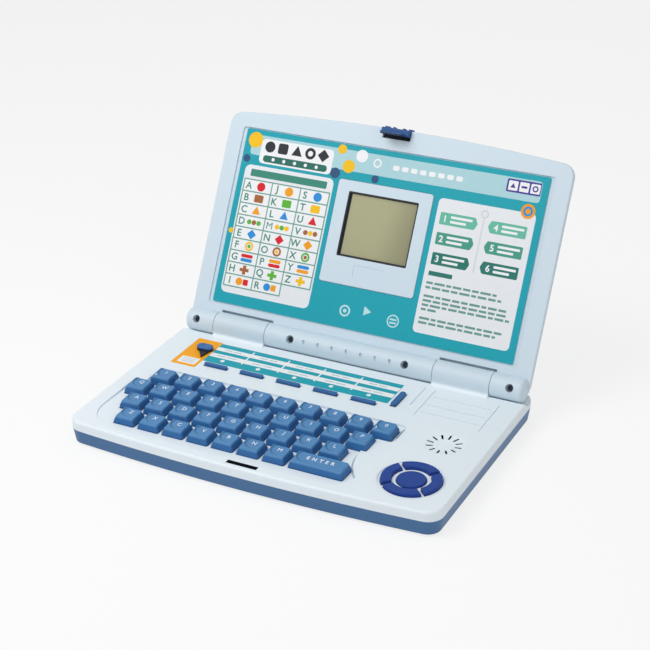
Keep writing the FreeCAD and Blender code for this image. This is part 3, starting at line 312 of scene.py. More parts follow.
class Film:
    """Flat shapes of one ink, drawn in millimetres and gathered into one thin piece."""

    def __init__(self):
        self.bm = bmesh.new()

    def extrude(self, faces, height):
        """Raises a copy of flat faces on walls, and keeps the faces as the underside."""
        made = bmesh.ops.extrude_face_region(self.bm, geom=faces, use_keep_orig=True)["geom"]
        raised = [item for item in made if isinstance(item, bmesh.types.BMVert)]
        bmesh.ops.translate(self.bm, verts=raised, vec=(0.0, 0.0, height))

    def thicken(self, faces, level):
        """Lifts flat faces to a level of the print and gives them a film's thickness."""
        bmesh.ops.recalc_face_normals(self.bm, faces=faces)
        if faces[0].normal.z > 0.0:
            bmesh.ops.reverse_faces(self.bm, faces=faces)
        verts = list({vert for face in faces for vert in face.verts})
        bmesh.ops.translate(self.bm, verts=verts, vec=(0.0, 0.0, level * FILM))
        self.extrude(faces, FILM)

    def polygon(self, corners, radius=0.0, level=0, segments=4):
        """Polygon with rounded corners."""
        verts = [self.bm.verts.new((x, y, 0.0)) for x, y in corners]
        faces = [self.bm.faces.new(verts)]
        if radius > 0.0:
            made = bmesh.ops.bevel(self.bm, geom=verts, offset=radius, offset_type="OFFSET",
                                   segments=segments, profile=0.5, affect="VERTICES", material=-1)
            faces = list({side for vert in made["verts"] for side in vert.link_faces})
        self.thicken(faces, level)

    def plate(self, x0, x1, y0, y1, radius=0.0, level=0, segments=4):
        """Rectangle with rounded corners."""
        self.polygon(((x0, y0), (x1, y0), (x1, y1), (x0, y1)), radius, level, segments)

    def circle(self, x, y, radius, sides, turn):
        """Flat round face, with one corner turned from +X by an angle."""
        place = Matrix.Translation((x, y, 0.0)) @ Matrix.Rotation(turn - math.pi / 2.0, 4, "Z")
        made = bmesh.ops.create_circle(self.bm, cap_ends=True, cap_tris=False, segments=sides,
                                       radius=radius, matrix=place)
        return made["verts"][0].link_faces[0]

    def hollow_out(self, face, width):
        """Cuts the middle out of a flat face and returns the rim that stays."""
        rim = bmesh.ops.inset_region(self.bm, faces=[face], thickness=width, use_boundary=True,
                                     use_even_offset=True)["faces"]
        bmesh.ops.delete(self.bm, geom=[face], context="FACES_ONLY")
        return rim

    def disc(self, x, y, radius, level=0, sides=28, turn=0.0):
        """Disc, or a regular polygon of few sides."""
        self.thicken([self.circle(x, y, radius, sides, turn)], level)

    def ring(self, x, y, outer, inner, level=0, sides=32):
        """Flat ring."""
        face = self.circle(x, y, outer, sides, math.pi / 2.0)
        self.thicken(self.hollow_out(face, outer - inner), level)

    def wall(self, x0, x1, y0, y1, width, height):
        """Upright rectangular wall round an opening."""
        corners = ((x0, y0), (x1, y0), (x1, y1), (x0, y1))
        ground = self.bm.faces.new([self.bm.verts.new((x, y, 0.0)) for x, y in corners])
        ground.normal_update()
        self.extrude(self.hollow_out(ground, width), height)
        bmesh.ops.recalc_face_normals(self.bm, faces=self.bm.faces)

    def word(self, text, size, x, y, level=0, spacing=1.0, bold=0.0):
        """Type, standing upright with its middle at a point."""
        mesh = type_mesh(text, size, FILM, spacing, bold)
        mesh.transform(Matrix.Translation((x, y, (level + 0.5) * FILM)))
        self.bm.from_mesh(mesh)
        bpy.data.meshes.remove(mesh)

    def piece(self, name, matrix, material, body, slot):
        """Makes the piece from what was drawn."""
        mesh = bpy.data.meshes.new(name)
        self.bm.to_mesh(mesh)
        self.bm.free()
        mesh.transform(matrix)
        return place_piece(name, mesh, material, body)


def place_piece(name, mesh, material, body):
    """Links a finished mesh as a piece that rides on a body."""
    mesh.materials.append(material)
    piece = bpy.data.objects.new(name, mesh)
    bpy.context.scene.collection.objects.link(piece)
    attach(piece, body)
    return piece


def type_mesh(text, size, thickness, spacing=1.0, bold=0.0):
    """Mesh of a short word in plain type, centred on the origin, with its strokes widened by bold."""
    curve = bpy.data.curves.new("type", "FONT")
    curve.body = text
    curve.size = size
    curve.align_x = "CENTER"
    curve.align_y = "CENTER"
    curve.space_character = spacing
    curve.extrude = thickness / 2.0
    curve.offset = bold
    curve.resolution_u = 3
    holder = bpy.data.objects.new("type", curve)
    bpy.context.scene.collection.objects.link(holder)
    bpy.context.view_layer.update()
    mesh = bpy.data.meshes.new_from_object(holder.evaluated_get(bpy.context.evaluated_depsgraph_get()))
    bpy.data.objects.remove(holder)
    bpy.data.curves.remove(curve)
    mesh.materials.clear()
    merged = bmesh.new()
    merged.from_mesh(mesh)
    bmesh.ops.remove_doubles(merged, verts=merged.verts, dist=size * 1e-4)
    low = Vector(map(min, zip(*(vert.co for vert in merged.verts))))
    high = Vector(map(max, zip(*(vert.co for vert in merged.verts))))
    middle = (low + high) / 2.0
    bmesh.ops.translate(merged, verts=merged.verts, vec=(-middle.x, -middle.y, -middle.z))
    merged.to_mesh(mesh)
    merged.free()
    return mesh


class LAPTOP_OT_shells(bpy.types.Operator):
    """Finishes the base halves, the lid halves and the battery door"""

    bl_idname = "laptop.shells"
    bl_label = "Shells"

    # Speaker's dish: its middle from the hinge axis, its rim and depth, and the edge that bounds the
    # painted shade in its slots
    speaker = (97.8 * MM, -72.8 * MM)
    dish_rim = 13.0 * MM
    dish_depth = 0.8 * MM
    dish_edge = (12.0 * MM, 12.4 * MM)

    # Depths below the dish where painted shade makes a slot dark, and heights above the floor where painted
    # shade makes a knuckle deeper
    slot_dark = (0.15 * MM, 0.5 * MM)
    knuckle_shade = (DECK + 1.0 * MM, DECK + 3.0 * MM)

    def deck(self, plastics):
        """Deck plastic, with painted shade that deepens the hinge knuckles and darkens the inside of the
        speaker's slots.
        """
        finish = Finish("deck_plastic")
        satin = finish.place.noise(2600.0, 1.0)
        clouds = finish.place.noise(16.0, 3.0)
        height = finish.place.axis("Z")
        across = finish.place.axis("X") - self.speaker[0]
        along = finish.place.axis("Y") - (HINGE_PLACE.y + self.speaker[1])
        reach = across * across + along * along
        dish = DECK - self.dish_depth + self.dish_depth / self.dish_rim ** 2 * reach
        inside = 1.0 - reach.beyond(*self.dish_edge)
        # Painted shade: dark inside the speaker's slots, below the dish's surface
        painted_slot_shade = (dish - height).between(*self.slot_dark) * inside
        pale = clouds.blend(shaded(plastics.deck, 0.988), shaded(plastics.deck, 1.012))
        # Painted shade: the hinge knuckles, above the deck, take the lid's deeper colour
        painted_knuckle_shade = height.between(*self.knuckle_shade)
        colours = painted_knuckle_shade.blend(pale, shaded(plastics.lid, 0.98))
        finish.set(Base_Color=painted_slot_shade.blend(colours, plastics.dark), Roughness=0.4 + 0.12 * satin,
                   Specular_IOR_Level=0.4)
        finish.grain(satin, 0.1, 0.06 * MM)
        return finish.material

    def execute(self, context):
        plastics = context.scene.laptop_plastics
        dress(self.deck(plastics), "base_top_shell")
        lid = moulded("lid_plastic", plastics.lid, 0.46, 0.1, 0.012)
        dress(lid, "lid_front_frame", "lid_back_cover")
        tray = moulded("tray_plastic", plastics.tray, 0.44, 0.14, 0.05)
        dress(tray, "base_bottom_tray", "battery_door")
        return {"FINISHED"}


class LAPTOP_OT_buttons(bpy.types.Operator):
    """Finishes the keys, the direction pad, the mode buttons, the power slider and the latch"""

    bl_idname = "laptop.buttons"
    bl_label = "Buttons"

    # Heights above the floor between which the sides' deeper colour gives way to the top's; on the keys the
    # deeper sides are partly painted shade
    key_shoulder = (DECK + 2.4 * MM, DECK + 3.7 * MM)
    bar_shoulder = (DECK, DECK + 1.6 * MM)
    knob_shoulder = (DECK + 1.6 * MM, DECK + 2.2 * MM)

    # Distances from the hinge axis, along the lid, between which the latch turns from dark to blue; the
    # dark hook below its bar is painted shade
    latch_edge = (145.0 * MM, 145.6 * MM)

    # Painted shade on the wall of a key's hollow: its inner and outer edge, where it fades out from left to
    # right, and how far right it goes on the ENTER key
    wall_inner = (4.6 * MM, 5.3 * MM)
    wall_outer = (5.8 * MM, 6.4 * MM)
    wall_fade = (-3.0 * MM, 5.0 * MM)
    enter_end = 42.0 * MM

    # Painted shade in the latch slot, a dark sheet on its walls and floor, in millimetres: its outline,
    # thickness, height, floor and depth in the deck
    slot = (-10.25, 10.25, -147.9, -144.4)
    liner = 0.08
    liner_height = 4.2
    liner_floor = (-10.2, 10.2, -147.85, -144.45)
    slot_depth = 4.35

    def hollow_shade(self, place):
        """Share of painted shade, a deeper blue, on the left wall of each key's hollow."""
        rows = [middle_of("key_" + first) for first in ROW_STARTS]
        x = place.axis("X") - rows[0].x
        y = place.axis("Y")
        for row, nearer in zip(rows, rows[1:]):
            x = x - (nearer.x - row.x) * (y < (row.y + nearer.y) / 2.0)
        across = x.wrap(middle_of("key_2").x - rows[0].x) - HOLLOW_AT[0]
        along = (y - rows[0].y).wrap(rows[0].y - rows[1].y) - HOLLOW_AT[1]
        reach = across * across + along * along
        wall = reach.beyond(*self.wall_inner) * (1.0 - reach.beyond(*self.wall_outer))
        return wall * (1.0 - across.between(*self.wall_fade))

    def enter_shade(self, place):
        """The same at the left end of the ENTER key's long hollow."""
        return self.hollow_shade(place) * (place.axis("X") < self.enter_end)

    def execute(self, context):
        plastics = context.scene.laptop_plastics
        # Keys: deeper sides, partly painted shade, and painted shade on the left wall of each key's hollow
        keys = two_tone("key_plastic", plastics.key_side, plastics.key_top, self.key_shoulder, 0.4,
                        shade=self.hollow_shade)
        dress(keys, *("key_" + letter for letter in KEY_LETTERS))
        enter = two_tone("enter_plastic", plastics.key_side, plastics.key_top, self.key_shoulder, 0.4,
                         shade=self.enter_shade)
        dress(enter, "key_enter")
        dress(moulded("pad_plastic", plastics.pad, 0.4, 0.06, 0.05, 0.2), *PAD_NODES)
        bars = two_tone("mode_plastic", shaded(plastics.key_side, 0.7), plastics.key_side,
                        self.bar_shoulder, 0.4)
        dress(bars, "mode_button_strip", "side_mode_button")
        knob = two_tone("slider_plastic", plastics.dark, plastics.slider, self.knob_shoulder, 0.42)
        dress(knob, "power_slider")
        # Latch: blue bar, with painted shade on the hook below it
        edge = [HINGE_PLACE.dot(LID_UP) + distance for distance in self.latch_edge]
        dress(two_tone("latch_plastic", plastics.dark, plastics.latch, edge, 0.42, LID_UP), "lid_latch")
        # Dark sheet in the latch slot: painted shade
        slot = Film()
        slot.wall(*self.slot, self.liner, self.liner_height)
        slot.plate(*self.liner_floor)
        dark = moulded("slot_dark", plastics.dark, 0.7, 0.1, 0.1, 0.1)
        slot.piece("latch_slot_shade", deck_matrix(self.slot_depth), dark, "base", "screw_dark")
        return {"FINISHED"}


class LAPTOP_OT_inner(bpy.types.Operator):
    """Finishes the screws and the pieces inside the base and the lid"""

    bl_idname = "laptop.inner"
    bl_label = "Inner pieces"

    def execute(self, context):
        board = Finish("board_lacquer")
        across = board.place.node("ShaderNodeTexWave", {"wave_type": "BANDS"},
                                  {"Vector": board.place, "Scale": 90.0, "Distortion": 6.0}, out=1)
        tracks = across.between(0.78, 0.86)
        board.set(Base_Color=tracks.blend(tint("0F5A2E"), tint("2F7F45")), Roughness=0.32 + 0.1 * tracks)
        board.grain(tracks, 0.3, 0.03 * MM)
        dress(board.material, "circuit_board")
        dress(moulded("mat_silicone", tint("8C9094"), 0.6, 0.2, 0.06), "key_mat")
        dress(moulded("speaker_black", tint("1B1B1E"), 0.5, 0.2, 0.1), "speaker")
        dress(plated("cell_case", tint("B9BBC0"), 0.28), "battery_cells")
        dress(plated("contact_steel", tint("C4C2BA"), 0.3), "battery_contacts")
        dress(plated("screw_zinc", tint("A9ABAF"), 0.32), "base_screws")
        dress(plated("screw_dark", tint("3A3D44"), 0.38), "lid_screws")
        return {"FINISHED"}


class LAPTOP_OT_legends(bpy.types.Operator):
    """Prints the legends in the hollow tops of the keys"""

    bl_idname = "laptop.legends"
    bl_label = "Key legends"

    # Key: half a cap's width, the reach of its flange beyond that, its top's front edge from its middle,
    # that edge's height above the deck, and the rise and lean of the top towards the back
    cap_half = 7.3 * MM
    flange = 0.8 * MM
    front = 5.85 * MM
    proud = 3.9 * MM
    rise = 0.9 * MM
    tilt = math.atan2(rise, 2.0 * front)

    # Legends: how far a film is sunk in the plastic and stands above it, and places from a key's middle
    sunk = 0.03 * MM
    raised = 0.07 * MM
    letter_at = (0.6 * MM, 2.1 * MM)
    sign_at = (-4.3 * MM, -2.7 * MM)
    enter_at = (0.2 * MM, 1.3 * MM)
    signs = "+-=?!:*/()"

    def hollow_drop(self, distance):
        """Depth of the key's flat hollow and its sloping wall at a distance from its middle."""
        return HOLLOW_DEPTH * min(1.0, max(0.0, (HOLLOW_RIM - distance) / HOLLOW_WALL))

    def lay(self, mesh, key, place):
        """Lays flat type on a key's leaning, hollow top, at a place from the key's middle."""
        low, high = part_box(key)
        reach = max(0.0, (high.x - low.x) / 2.0 - self.flange - self.cap_half)
        middle = middle_of(key)
        pivot = Vector((middle.x, middle.y - self.front, DECK + self.proud))
        turn = Matrix.Rotation(self.tilt, 3, "X")
        for vert in mesh.vertices:
            across = vert.co.x + place[0]
            along = vert.co.y + place[1]
            beside = max(0.0, abs(across - HOLLOW_AT[0]) - reach)
            drop = self.hollow_drop(math.hypot(beside, along - HOLLOW_AT[1]))
            lift = self.raised if vert.co.z > 0.0 else -self.sunk
            vert.co = pivot + turn @ Vector((across, along + self.front, lift - drop))

    def legend(self, key, kind, text, place, white, size, spacing=1.0, bold=0.0):
        """Makes the type of one legend and lays it on its key."""
        mesh = type_mesh(text, size, self.sunk + self.raised, spacing, bold)
        self.lay(mesh, key, place)
        place_piece(key + kind, mesh, white, key)

    def execute(self, context):
        prints = context.scene.laptop_prints
        white = ink("legend_white", prints.paper)
        size = prints.legend_height
        for letter in KEY_LETTERS:
            self.legend("key_" + letter, "_legend", letter.upper(), self.letter_at, white, size)
        for digit, sign in zip(KEY_LETTERS, self.signs):
            self.legend("key_" + digit, "_sign", sign, self.sign_at, white, 0.75 * size, bold=0.04 * MM)
        self.legend("key_enter", "_legend", "ENTER", self.enter_at, white, 0.97 * size, 1.75, 0.06 * MM)
        return {"FINISHED"}


class LAPTOP_OT_deck_labels(bpy.types.Operator):
    """Lays the orange power label, the teal mode label and a painted shadow at the foot of the key well's
    wall on the deck
    """

    bl_idname = "laptop.deck_labels"
    bl_label = "Deck labels"

    # Power label, in millimetres from the hinge axis: its outline, and a white panel with grey lines
    power_label = (-106.4, -87.9, -53.3, -15.5)
    power_panel = (-103.2, -90.0, -50.5, -42.0)
    power_lines = (-44.2, -46.2, -48.2)
    line_ends = (-101.2, -92.0)

    # Mode label: its outline, its columns, white bands with grey bars in each column, white ticks between
    # the columns and a row of white dots
    mode_label = (-87.8, 46.2, -42.6, -16.5)
    columns = [-75.5 + 26.65 * place for place in range(5)]
    band_ends = (-87.6, 46.0)
    bands = ((-26.0, -21.4), (-35.1, -30.1))
    bars = ((-23.7, 6.4), (-32.6, 7.4))
    bar_half = 0.6
    tick_step = 13.4
    tick_half = 0.5
    ticks = ((-21.4, -18.6), (-30.1, -26.0), (-36.6, -35.1))
    dot_row = -38.0
    dot = 1.5

    # Floor of the key well: distances from the hinge axis and depths below the deck
    well = ((-143.5, 0.0), (-134.0, 0.8), (-63.0, 1.6))

    # Painted shadow at the foot of the key well's wall: a strip beside the last digit key, and an arc round
    # the palm rest, with the rest's middle and radius, the arc's first turn, step and number of turns, its
    # gap to the rest, and its widths
    strip = ((67.8, -77.5), (69.6, -77.5), (69.6, -66.8), (68.6, -64.6), (67.8, -64.6))
    palm = (101.0, -101.0, 45.0)
    arc = (181.0, 2.8, 18)
    arc_gap = 0.3
    arc_ends = 0.2
    arc_swell = 0.9
    seam_lift = 0.02

    def whites(self):
        """White panel, bands, dots and ticks."""
        film = Film()
        film.plate(*self.power_panel, 0.5, 1)
        for low, high in self.bands:
            film.plate(*self.band_ends, low, high, 0.2, 1)
        for x in self.columns:
            film.disc(x, self.dot_row, self.dot, 1)
        for x in self.columns[:-1]:
            middle = x + self.tick_step
            for low, high in self.ticks:
                film.plate(middle - self.tick_half, middle + self.tick_half, low, high, 0.0, 1)
        return film

    def greys(self):
        """Grey bars and lines in place of small print."""
        film = Film()
        for x in self.columns:
            for y, half in self.bars:
                low, high = y - self.bar_half, y + self.bar_half
                film.plate(x - half, x - self.bar_half, low, high, 0.2, 2)
                film.plate(x + self.bar_half, x + half, low, high, 0.2, 2)
        for y in self.power_lines:
            film.plate(*self.line_ends, y - 0.4, y + 0.4, 0.15, 2)
        return film

    def well_depth(self, y):
        """Depth of the key well's sloping floor."""
        front, bend, back = self.well
        (start, shallow), (end, deep) = (front, bend) if y < bend[0] else (bend, back)
        return shallow + (deep - shallow) * max(0.0, y - start) / (end - start)

    def seams(self):
        """Painted shadow at the foot of the key well's wall."""
        film = Film()
        film.polygon(self.strip, 0.3)
        x, y, radius = self.palm
        first, step, count = self.arc
        near = []
        away = []
        for place in range(count):
            turn = math.radians(first + step * place)
            width = self.arc_ends + self.arc_swell * math.sin(math.pi * place / (count - 1))
            for side, gap in ((near, self.arc_gap), (away, self.arc_gap + width)):
                reach = radius + gap
                side.append((x + reach * math.cos(turn), y + reach * math.sin(turn)))
        film.polygon(near + away[::-1])
        for vert in film.bm.verts:
            vert.co.z += self.seam_lift - self.well_depth(vert.co.y)
        return film

    def execute(self, context):
        prints = context.scene.laptop_prints
        place = deck_matrix()
        orange = Film()
        orange.plate(*self.power_label, 0.8)
        orange.piece("power_label", place, ink("label_orange", prints.orange), "base", "card_print")
        teal = Film()
        teal.plate(*self.mode_label, 0.6)
        teal.piece("mode_label", place, ink("label_teal", prints.ground), "base", "card_print")
        white = ink("label_white", prints.paper)
        self.whites().piece("label_white", place, white, "base", "card_print")
        grey = ink("label_grey", tint("C2D2D8"))
        self.greys().piece("label_marks", place, grey, "base", "card_print")
        # Grey film at the foot of the key well's wall: painted shadow
        well_shadow_ink = ink("well_shadow_grey", tint("A9B8C5"), 0.6)
        self.seams().piece("well_painted_shadow", place, well_shadow_ink, "base", "pale_shell")
        return {"FINISHED"}


class LAPTOP_OT_display(bpy.types.Operator):
    """Fits the display's face, the dark rim round it and strips of painted shadow inside the rim"""

    bl_idname = "laptop.display"
    bl_label = "Display"

    # Opening for the display on the lid, in millimetres, and the width of the dark rim in it
    half = 25.25
    near = 61.15
    far = 104.45
    rim = 0.9

    # Inset of the face's edge, the rim's drop below the bezel, and the strips of painted shadow on the
    # face: their lap under the rim and their widths at the left, the far and the near side
    inset = 0.4
    rim_drop = 0.35
    lap = 0.1
    strips = (1.3, 0.4, 0.5)

    # Heights above the floor and places along X between which painted shade changes the face's tone
    tone_heights = (70.0 * MM, 112.0 * MM)
    tone_places = (-4.0 * MM, 28.0 * MM)

    def glass(self, colour):
        """Grey-green face, with painted shade that darkens it to the right and towards the hinge."""
        face = Finish("display_glass")
        rise = face.place.axis("Z").between(*self.tone_heights)
        along = face.place.axis("X").between(*self.tone_places)
        dots = face.place.noise(1400.0, 1.0)
        # Painted shade: lighter at the top left, darker to the right and towards the hinge
        tone = (0.75 + 0.25 * rise) - 0.85 * along
        colours = tone.between(-0.1, 1.0).blend(shaded(colour, 0.7), shaded(colour, 1.02))
        face.set(Base_Color=colours, Roughness=0.2 + 0.05 * dots, Coat_Weight=0.1, Specular_IOR_Level=0.3)
        return face.material

    def execute(self, context):
        glass = self.glass(context.scene.laptop_prints.display)
        edge = self.half - self.inset
        sheet = Film()
        sheet.plate(-edge, edge, self.near + self.inset, self.far - self.inset, 0.4)
        sheet.piece("display_face", lid_matrix(GLASS_FACE), glass, "lid", "display")
        rim = Film()
        height = BEZEL_FACE - GLASS_FACE - self.rim_drop
        rim.wall(-self.half, self.half, self.near, self.far, self.rim, height)
        left, right = self.rim - self.half, self.half - self.rim
        low, high = self.near + self.rim, self.far - self.rim
        beside, beyond, before = self.strips
        # Strips of painted shadow on the face, at the left, far and near side inside the rim
        rim.plate(left - self.lap, left + beside, low - self.lap, high + self.lap)
        rim.plate(left + beside, right + self.lap, high - beyond, high + self.lap)
        rim.plate(left + beside, right + self.lap, low - self.lap, low + before)
        dark = moulded("rim_dark", tint("2C3033"), 0.5, 0.1, 0.1, 0.2)
        rim.piece("display_rim_and_shadow", lid_matrix(GLASS_FACE + FILM), dark, "lid", "display")
        return {"FINISHED"}


class LAPTOP_OT_card(bpy.types.Operator):
    """Prints the picture card: ground, title band, letter chart, step panel and small motifs"""

    bl_idname = "laptop.card"
    bl_label = "Picture card"

    # Inks that only the card has, and those of the step panel
    tones = {"red": "D8232F", "yellow": "F5C21B", "blue": "2F8FD6", "leaf": "5DB23A", "amber": "F2A01E",
             "brown": "A5653A", "navy": "33527C", "violet": "4A3F96", "pale": "BFE4E9", "black": "2B2D33",
             "deep": "2B6B60", "panel": "E9ECF0", "rule": "6FA397", "line": "D3D9DC"}
    step_tones = {"rules": "6B9A94", "tabs_1": "69BBA3", "tabs_2": "489B87", "tabs_3": "2B766B"}

    # Letter chart, in millimetres from the hinge axis: the rules of its table, the places of a letter and
    # a shape from a cell's left, the type, and the shapes' inks
    chart_x = (-103.7, -82.3, -60.7, -39.2)
    chart_top = 100.6
    chart_rows = 9
    row = 8.22
    rule_half = 0.4
    letter_in = 4.0
    shape_in = 13.4
    letter_size = 6.8
    letter_bold = 0.11
    shape_inks = ("red", "yellow", "blue", "leaf", "amber", "brown")

    # Step panel: heights of its tabs, each tab's left, right and tip, half a tab's height, and the bars
    # and the number on a tab, from its left
    steps = (97.6, 84.4, 71.2)
    tabs = ((41.3, 65.6, 67.5), (76.5, 100.6, 74.6))
    tab_half = 4.0
    tab_bars = ((1.5, 15.0), (-1.5, 11.0))
    bars_in = 7.4
    number_in = 3.6

    # Small print of the step panel: heights and right ends of its lines, their left, and the bars' widths
    print_lines = ((55.1, 89.8), (52.0, 93.5), (46.4, 99.4), (43.4, 98.4), (40.5, 101.3), (37.6, 52.9),
                   (31.8, 99.6), (28.9, 94.4))
    print_left = 41.1
    print_bars = (4.6, 7.2, 3.4, 6.0, 5.2)
    print_gap = 1.1

    # Panels, marks and motifs: an ink, and what a film's plate, disc or ring takes
    plates = (
        ("panel", -105.1, -37.8, 21.9, 110.5, 4.0),
        ("panel", 38.3, 104.8, 22.0, 110.5, 3.0),
        ("green", -100.3, -42.5, 102.9, 107.8, 0.6, 1),
        ("line", 70.6, 71.4, 66.8, 102.2, 0.3, 1),
        ("tabs_3", 41.3, 57.8, 59.9, 62.8, 0.5, 1),
        ("band", -104.0, 104.8, 117.5, 131.3, 2.2),
        ("white", -96.4, -41.8, 112.6, 129.4, 3.0, 1),
        ("black", -83.4, -76.0, 120.8, 128.0, 1.4, 2),
        ("deep", -93.4, -45.0, 113.8, 118.4, 2.0, 2),
        ("violet", 81.3, 104.4, 121.8, 130.2, 0.9, 1),
        ("violet", 91.2, 95.1, 125.3, 126.7, 0.3, 3),
        ("pale", 21.4, 26.2, 26.2, 27.4, 0.5),
        ("pale", 21.4, 26.2, 24.0, 25.2, 0.5),
    )
    discs = (
        ("yellow", -101.5, 127.6, 5.4, 1),
        ("yellow", -36.4, 131.0, 3.2, 1),
        ("yellow", -29.5, 120.4, 4.4, 1),
        ("yellow", -106.4, 64.0, 1.8),
        ("navy", -38.4, 114.6, 3.6, 1),
        ("navy", -9.0, 115.0, 2.6, 1),
        ("navy", -105.6, 114.4, 2.6, 1),
        ("white", -21.4, 128.6, 4.2, 1),
        ("black", -89.6, 124.4, 3.8, 2),
        ("black", -69.0, 123.6, 4.6, 2, 3, math.pi / 2.0),
        ("black", -49.2, 124.4, 4.3, 2, 4),
        ("violet", 85.6, 125.6, 2.0, 3, 3, math.pi / 2.0),
        ("amber", 98.8, 111.4, 4.8, 2),
        ("pale", -11.2, 26.1, 1.3),
        ("pale", 4.0, 28.6, 3.6, 0, 3),
    )
    rings = (
        ("line", 71.0, 104.9, 2.7, 1.7, 1),
        ("white", -9.5, 125.6, 3.0, 1.9, 1),
        ("black", -59.0, 124.4, 3.9, 1.9, 2),
        ("violet", 100.6, 126.0, 2.0, 1.1, 3, 24),
        ("blue", 98.8, 111.4, 3.2, 1.8, 3),
        ("pale", -11.2, 26.1, 3.9, 2.7),
        ("pale", 23.8, 25.8, 4.3, 3.4),
    )

    def ground(self, prints):
        """Teal card stock with a slow change of tone and a faint dot screen."""
        card = Finish("card_stock")
        drift = card.place.noise(9.0, 2.0)
        screen = card.place.node("ShaderNodeTexVoronoi", {"feature": "F1"},
                                 {"Vector": card.place, "Scale": 160.0, "Randomness": 0.2})
        dot = 1.0 - screen.between(0.12, 0.2)
        tone = 0.85 * drift + 0.15 * dot
        card.set(Base_Color=tone.blend(shaded(prints.ground, 0.9), shaded(prints.ground, 1.12)),
                 Roughness=0.4 + 0.1 * drift, Specular_IOR_Level=0.2)
        dress(card.material, "picture_card")

    def chart(self, inks):
        """Letter chart: white cells, a ruled table, and a letter and a plain shape in each cell."""
        first, _, third, last = self.chart_x
        bottom = self.chart_top - self.chart_rows * self.row
        inks["white"].plate(first, third, bottom, self.chart_top, 0.0, 1)
        inks["white"].plate(third, last, bottom + self.row, self.chart_top, 0.0, 1)
        half = self.rule_half
        for x in self.chart_x:
            low = bottom + self.row if x == last else bottom
            inks["rule"].plate(x - half, x + half, low, self.chart_top, 0.0, 2)
        for place in range(self.chart_rows + 1):
            y = self.chart_top - place * self.row
            right = third if place == self.chart_rows else last
            inks["rule"].plate(first - half, right + half, y - half, y + half, 0.0, 3)
        for place in range(26):
            column, line = divmod(place, self.chart_rows)
            left = self.chart_x[column]
            y = self.chart_top - (line + 0.5) * self.row
            letter = chr(ord("A") + place)
            # The strokes of an M would cross each other if they were widened
            bold = 0.0 if letter == "M" else self.letter_bold
            inks["green"].word(letter, self.letter_size, left + self.letter_in, y, 2, 1.0, bold)
            pick = place * 5 + column
            film, other = (inks[self.shape_inks[(pick + skip) % len(self.shape_inks)]] for skip in (0, 2))
            self.shape(film, other, line, left + self.shape_in, y)

    def shape(self, film, other, kind, x, y):
        """One of nine plain shapes."""
        if kind == 0:
            film.disc(x, y, 3.1, 2)
        elif kind == 1:
            film.plate(x - 3.4, x + 3.4, y - 2.6, y + 2.6, 0.8, 2)
        elif kind == 2:
            film.disc(x, y - 0.6, 3.7, 2, 3, math.pi / 2.0)
        elif kind == 3:
            for step, part in ((-3.6, film), (0.0, other), (3.6, film)):
                part.disc(x + step, y, 1.7, 2, 16)
        elif kind == 4:
            film.disc(x, y, 3.4, 2, 4)
        elif kind == 5:
            film.ring(x, y, 3.2, 1.9, 2, 24)
            other.disc(x, y, 1.3, 2, 16)
        elif kind == 6:
            film.plate(x - 4.4, x + 4.4, y + 0.3, y + 2.6, 1.0, 2)
            other.plate(x - 4.4, x + 4.4, y - 2.6, y - 0.3, 1.0, 2)
        elif kind == 7:
            film.plate(x - 1.2, x + 1.2, y - 3.1, y + 3.1, 0.3, 2)
            film.plate(x - 3.4, x - 1.2, y - 1.1, y + 1.1, 0.3, 2)
            film.plate(x + 1.2, x + 3.4, y - 1.1, y + 1.1, 0.3, 2)
        else:
            film.disc(x - 2.1, y, 2.6, 2, 20)
            other.plate(x + 0.9, x + 4.7, y - 2.0, y + 2.0, 0.4, 2)

    def panel(self, inks):
        """Step panel: numbered tabs with bars for their words, and rows of bars for the small print."""
        for place, y in enumerate(self.steps, 1):
            low, high = y - self.tab_half, y + self.tab_half
            for number, (left, right, tip) in zip((place, place + len(self.steps)), self.tabs):
                ends = ((left, low), (right, low), (tip, y), (right, high), (left, high))
                if tip < left:
                    ends = ((right, low), (right, high), (left, high), (tip, y), (left, low))
                inks["tabs_%d" % place].polygon(ends, 0.7, 1, 2)
                inks["white"].word(str(number), 6.0, left + self.number_in, y, 2, 1.0, 0.15)
                start = left + self.bars_in
                for rise, width in self.tab_bars:
                    inks["white"].plate(start, start + width, y + rise - 0.8, y + rise + 0.8, 0.35, 2)
        for y, right in self.print_lines:
            x = self.print_left
            step = int(y)
            while x < right - 2.0:
                width = self.print_bars[step % len(self.print_bars)]
                inks["rules"].plate(x, min(x + width, right), y - 0.75, y + 0.75, 0.3, 1, 2)
                x += width + self.print_gap
                step += 1

    def motifs(self, inks):
        """Panels, title band, plaque of plain shapes, corner discs, window squares and small line marks."""
        for name, *drawing in self.plates:
            inks[name].plate(*drawing)
        for name, *drawing in self.discs:
            inks[name].disc(*drawing)
        for name, *drawing in self.rings:
            inks[name].ring(*drawing)
        white = inks["white"]
        for place in range(5):
            white.disc(-85.6 + 8.2 * place, 116.1, 1.2, 3, 16)
        for place in range(8):
            white.plate(2.0 + 6.4 * place, 6.6 + 6.4 * place, 122.8, 126.0, 1.0, 1)
        for place in range(3):
            white.plate(82.5 + 7.5 * place, 88.8 + 7.5 * place, 122.9, 129.1, 0.5, 2)

    def execute(self, context):
        prints = context.scene.laptop_prints
        self.ground(prints)
        colours = {name: tint(code) for name, code in self.tones.items()}
        colours.update(white=prints.paper, green=prints.green, band=prints.band)
        colours.update((name, tint(code)) for name, code in self.step_tones.items())
        inks = {name: Film() for name in colours}
        self.chart(inks)
        self.panel(inks)
        self.motifs(inks)
        place = lid_matrix(CARD_FACE)
        for name, film in inks.items():
            film.piece("card_" + name, place, ink("card_" + name, colours[name]), "lid", "card_print")
        return {"FINISHED"}


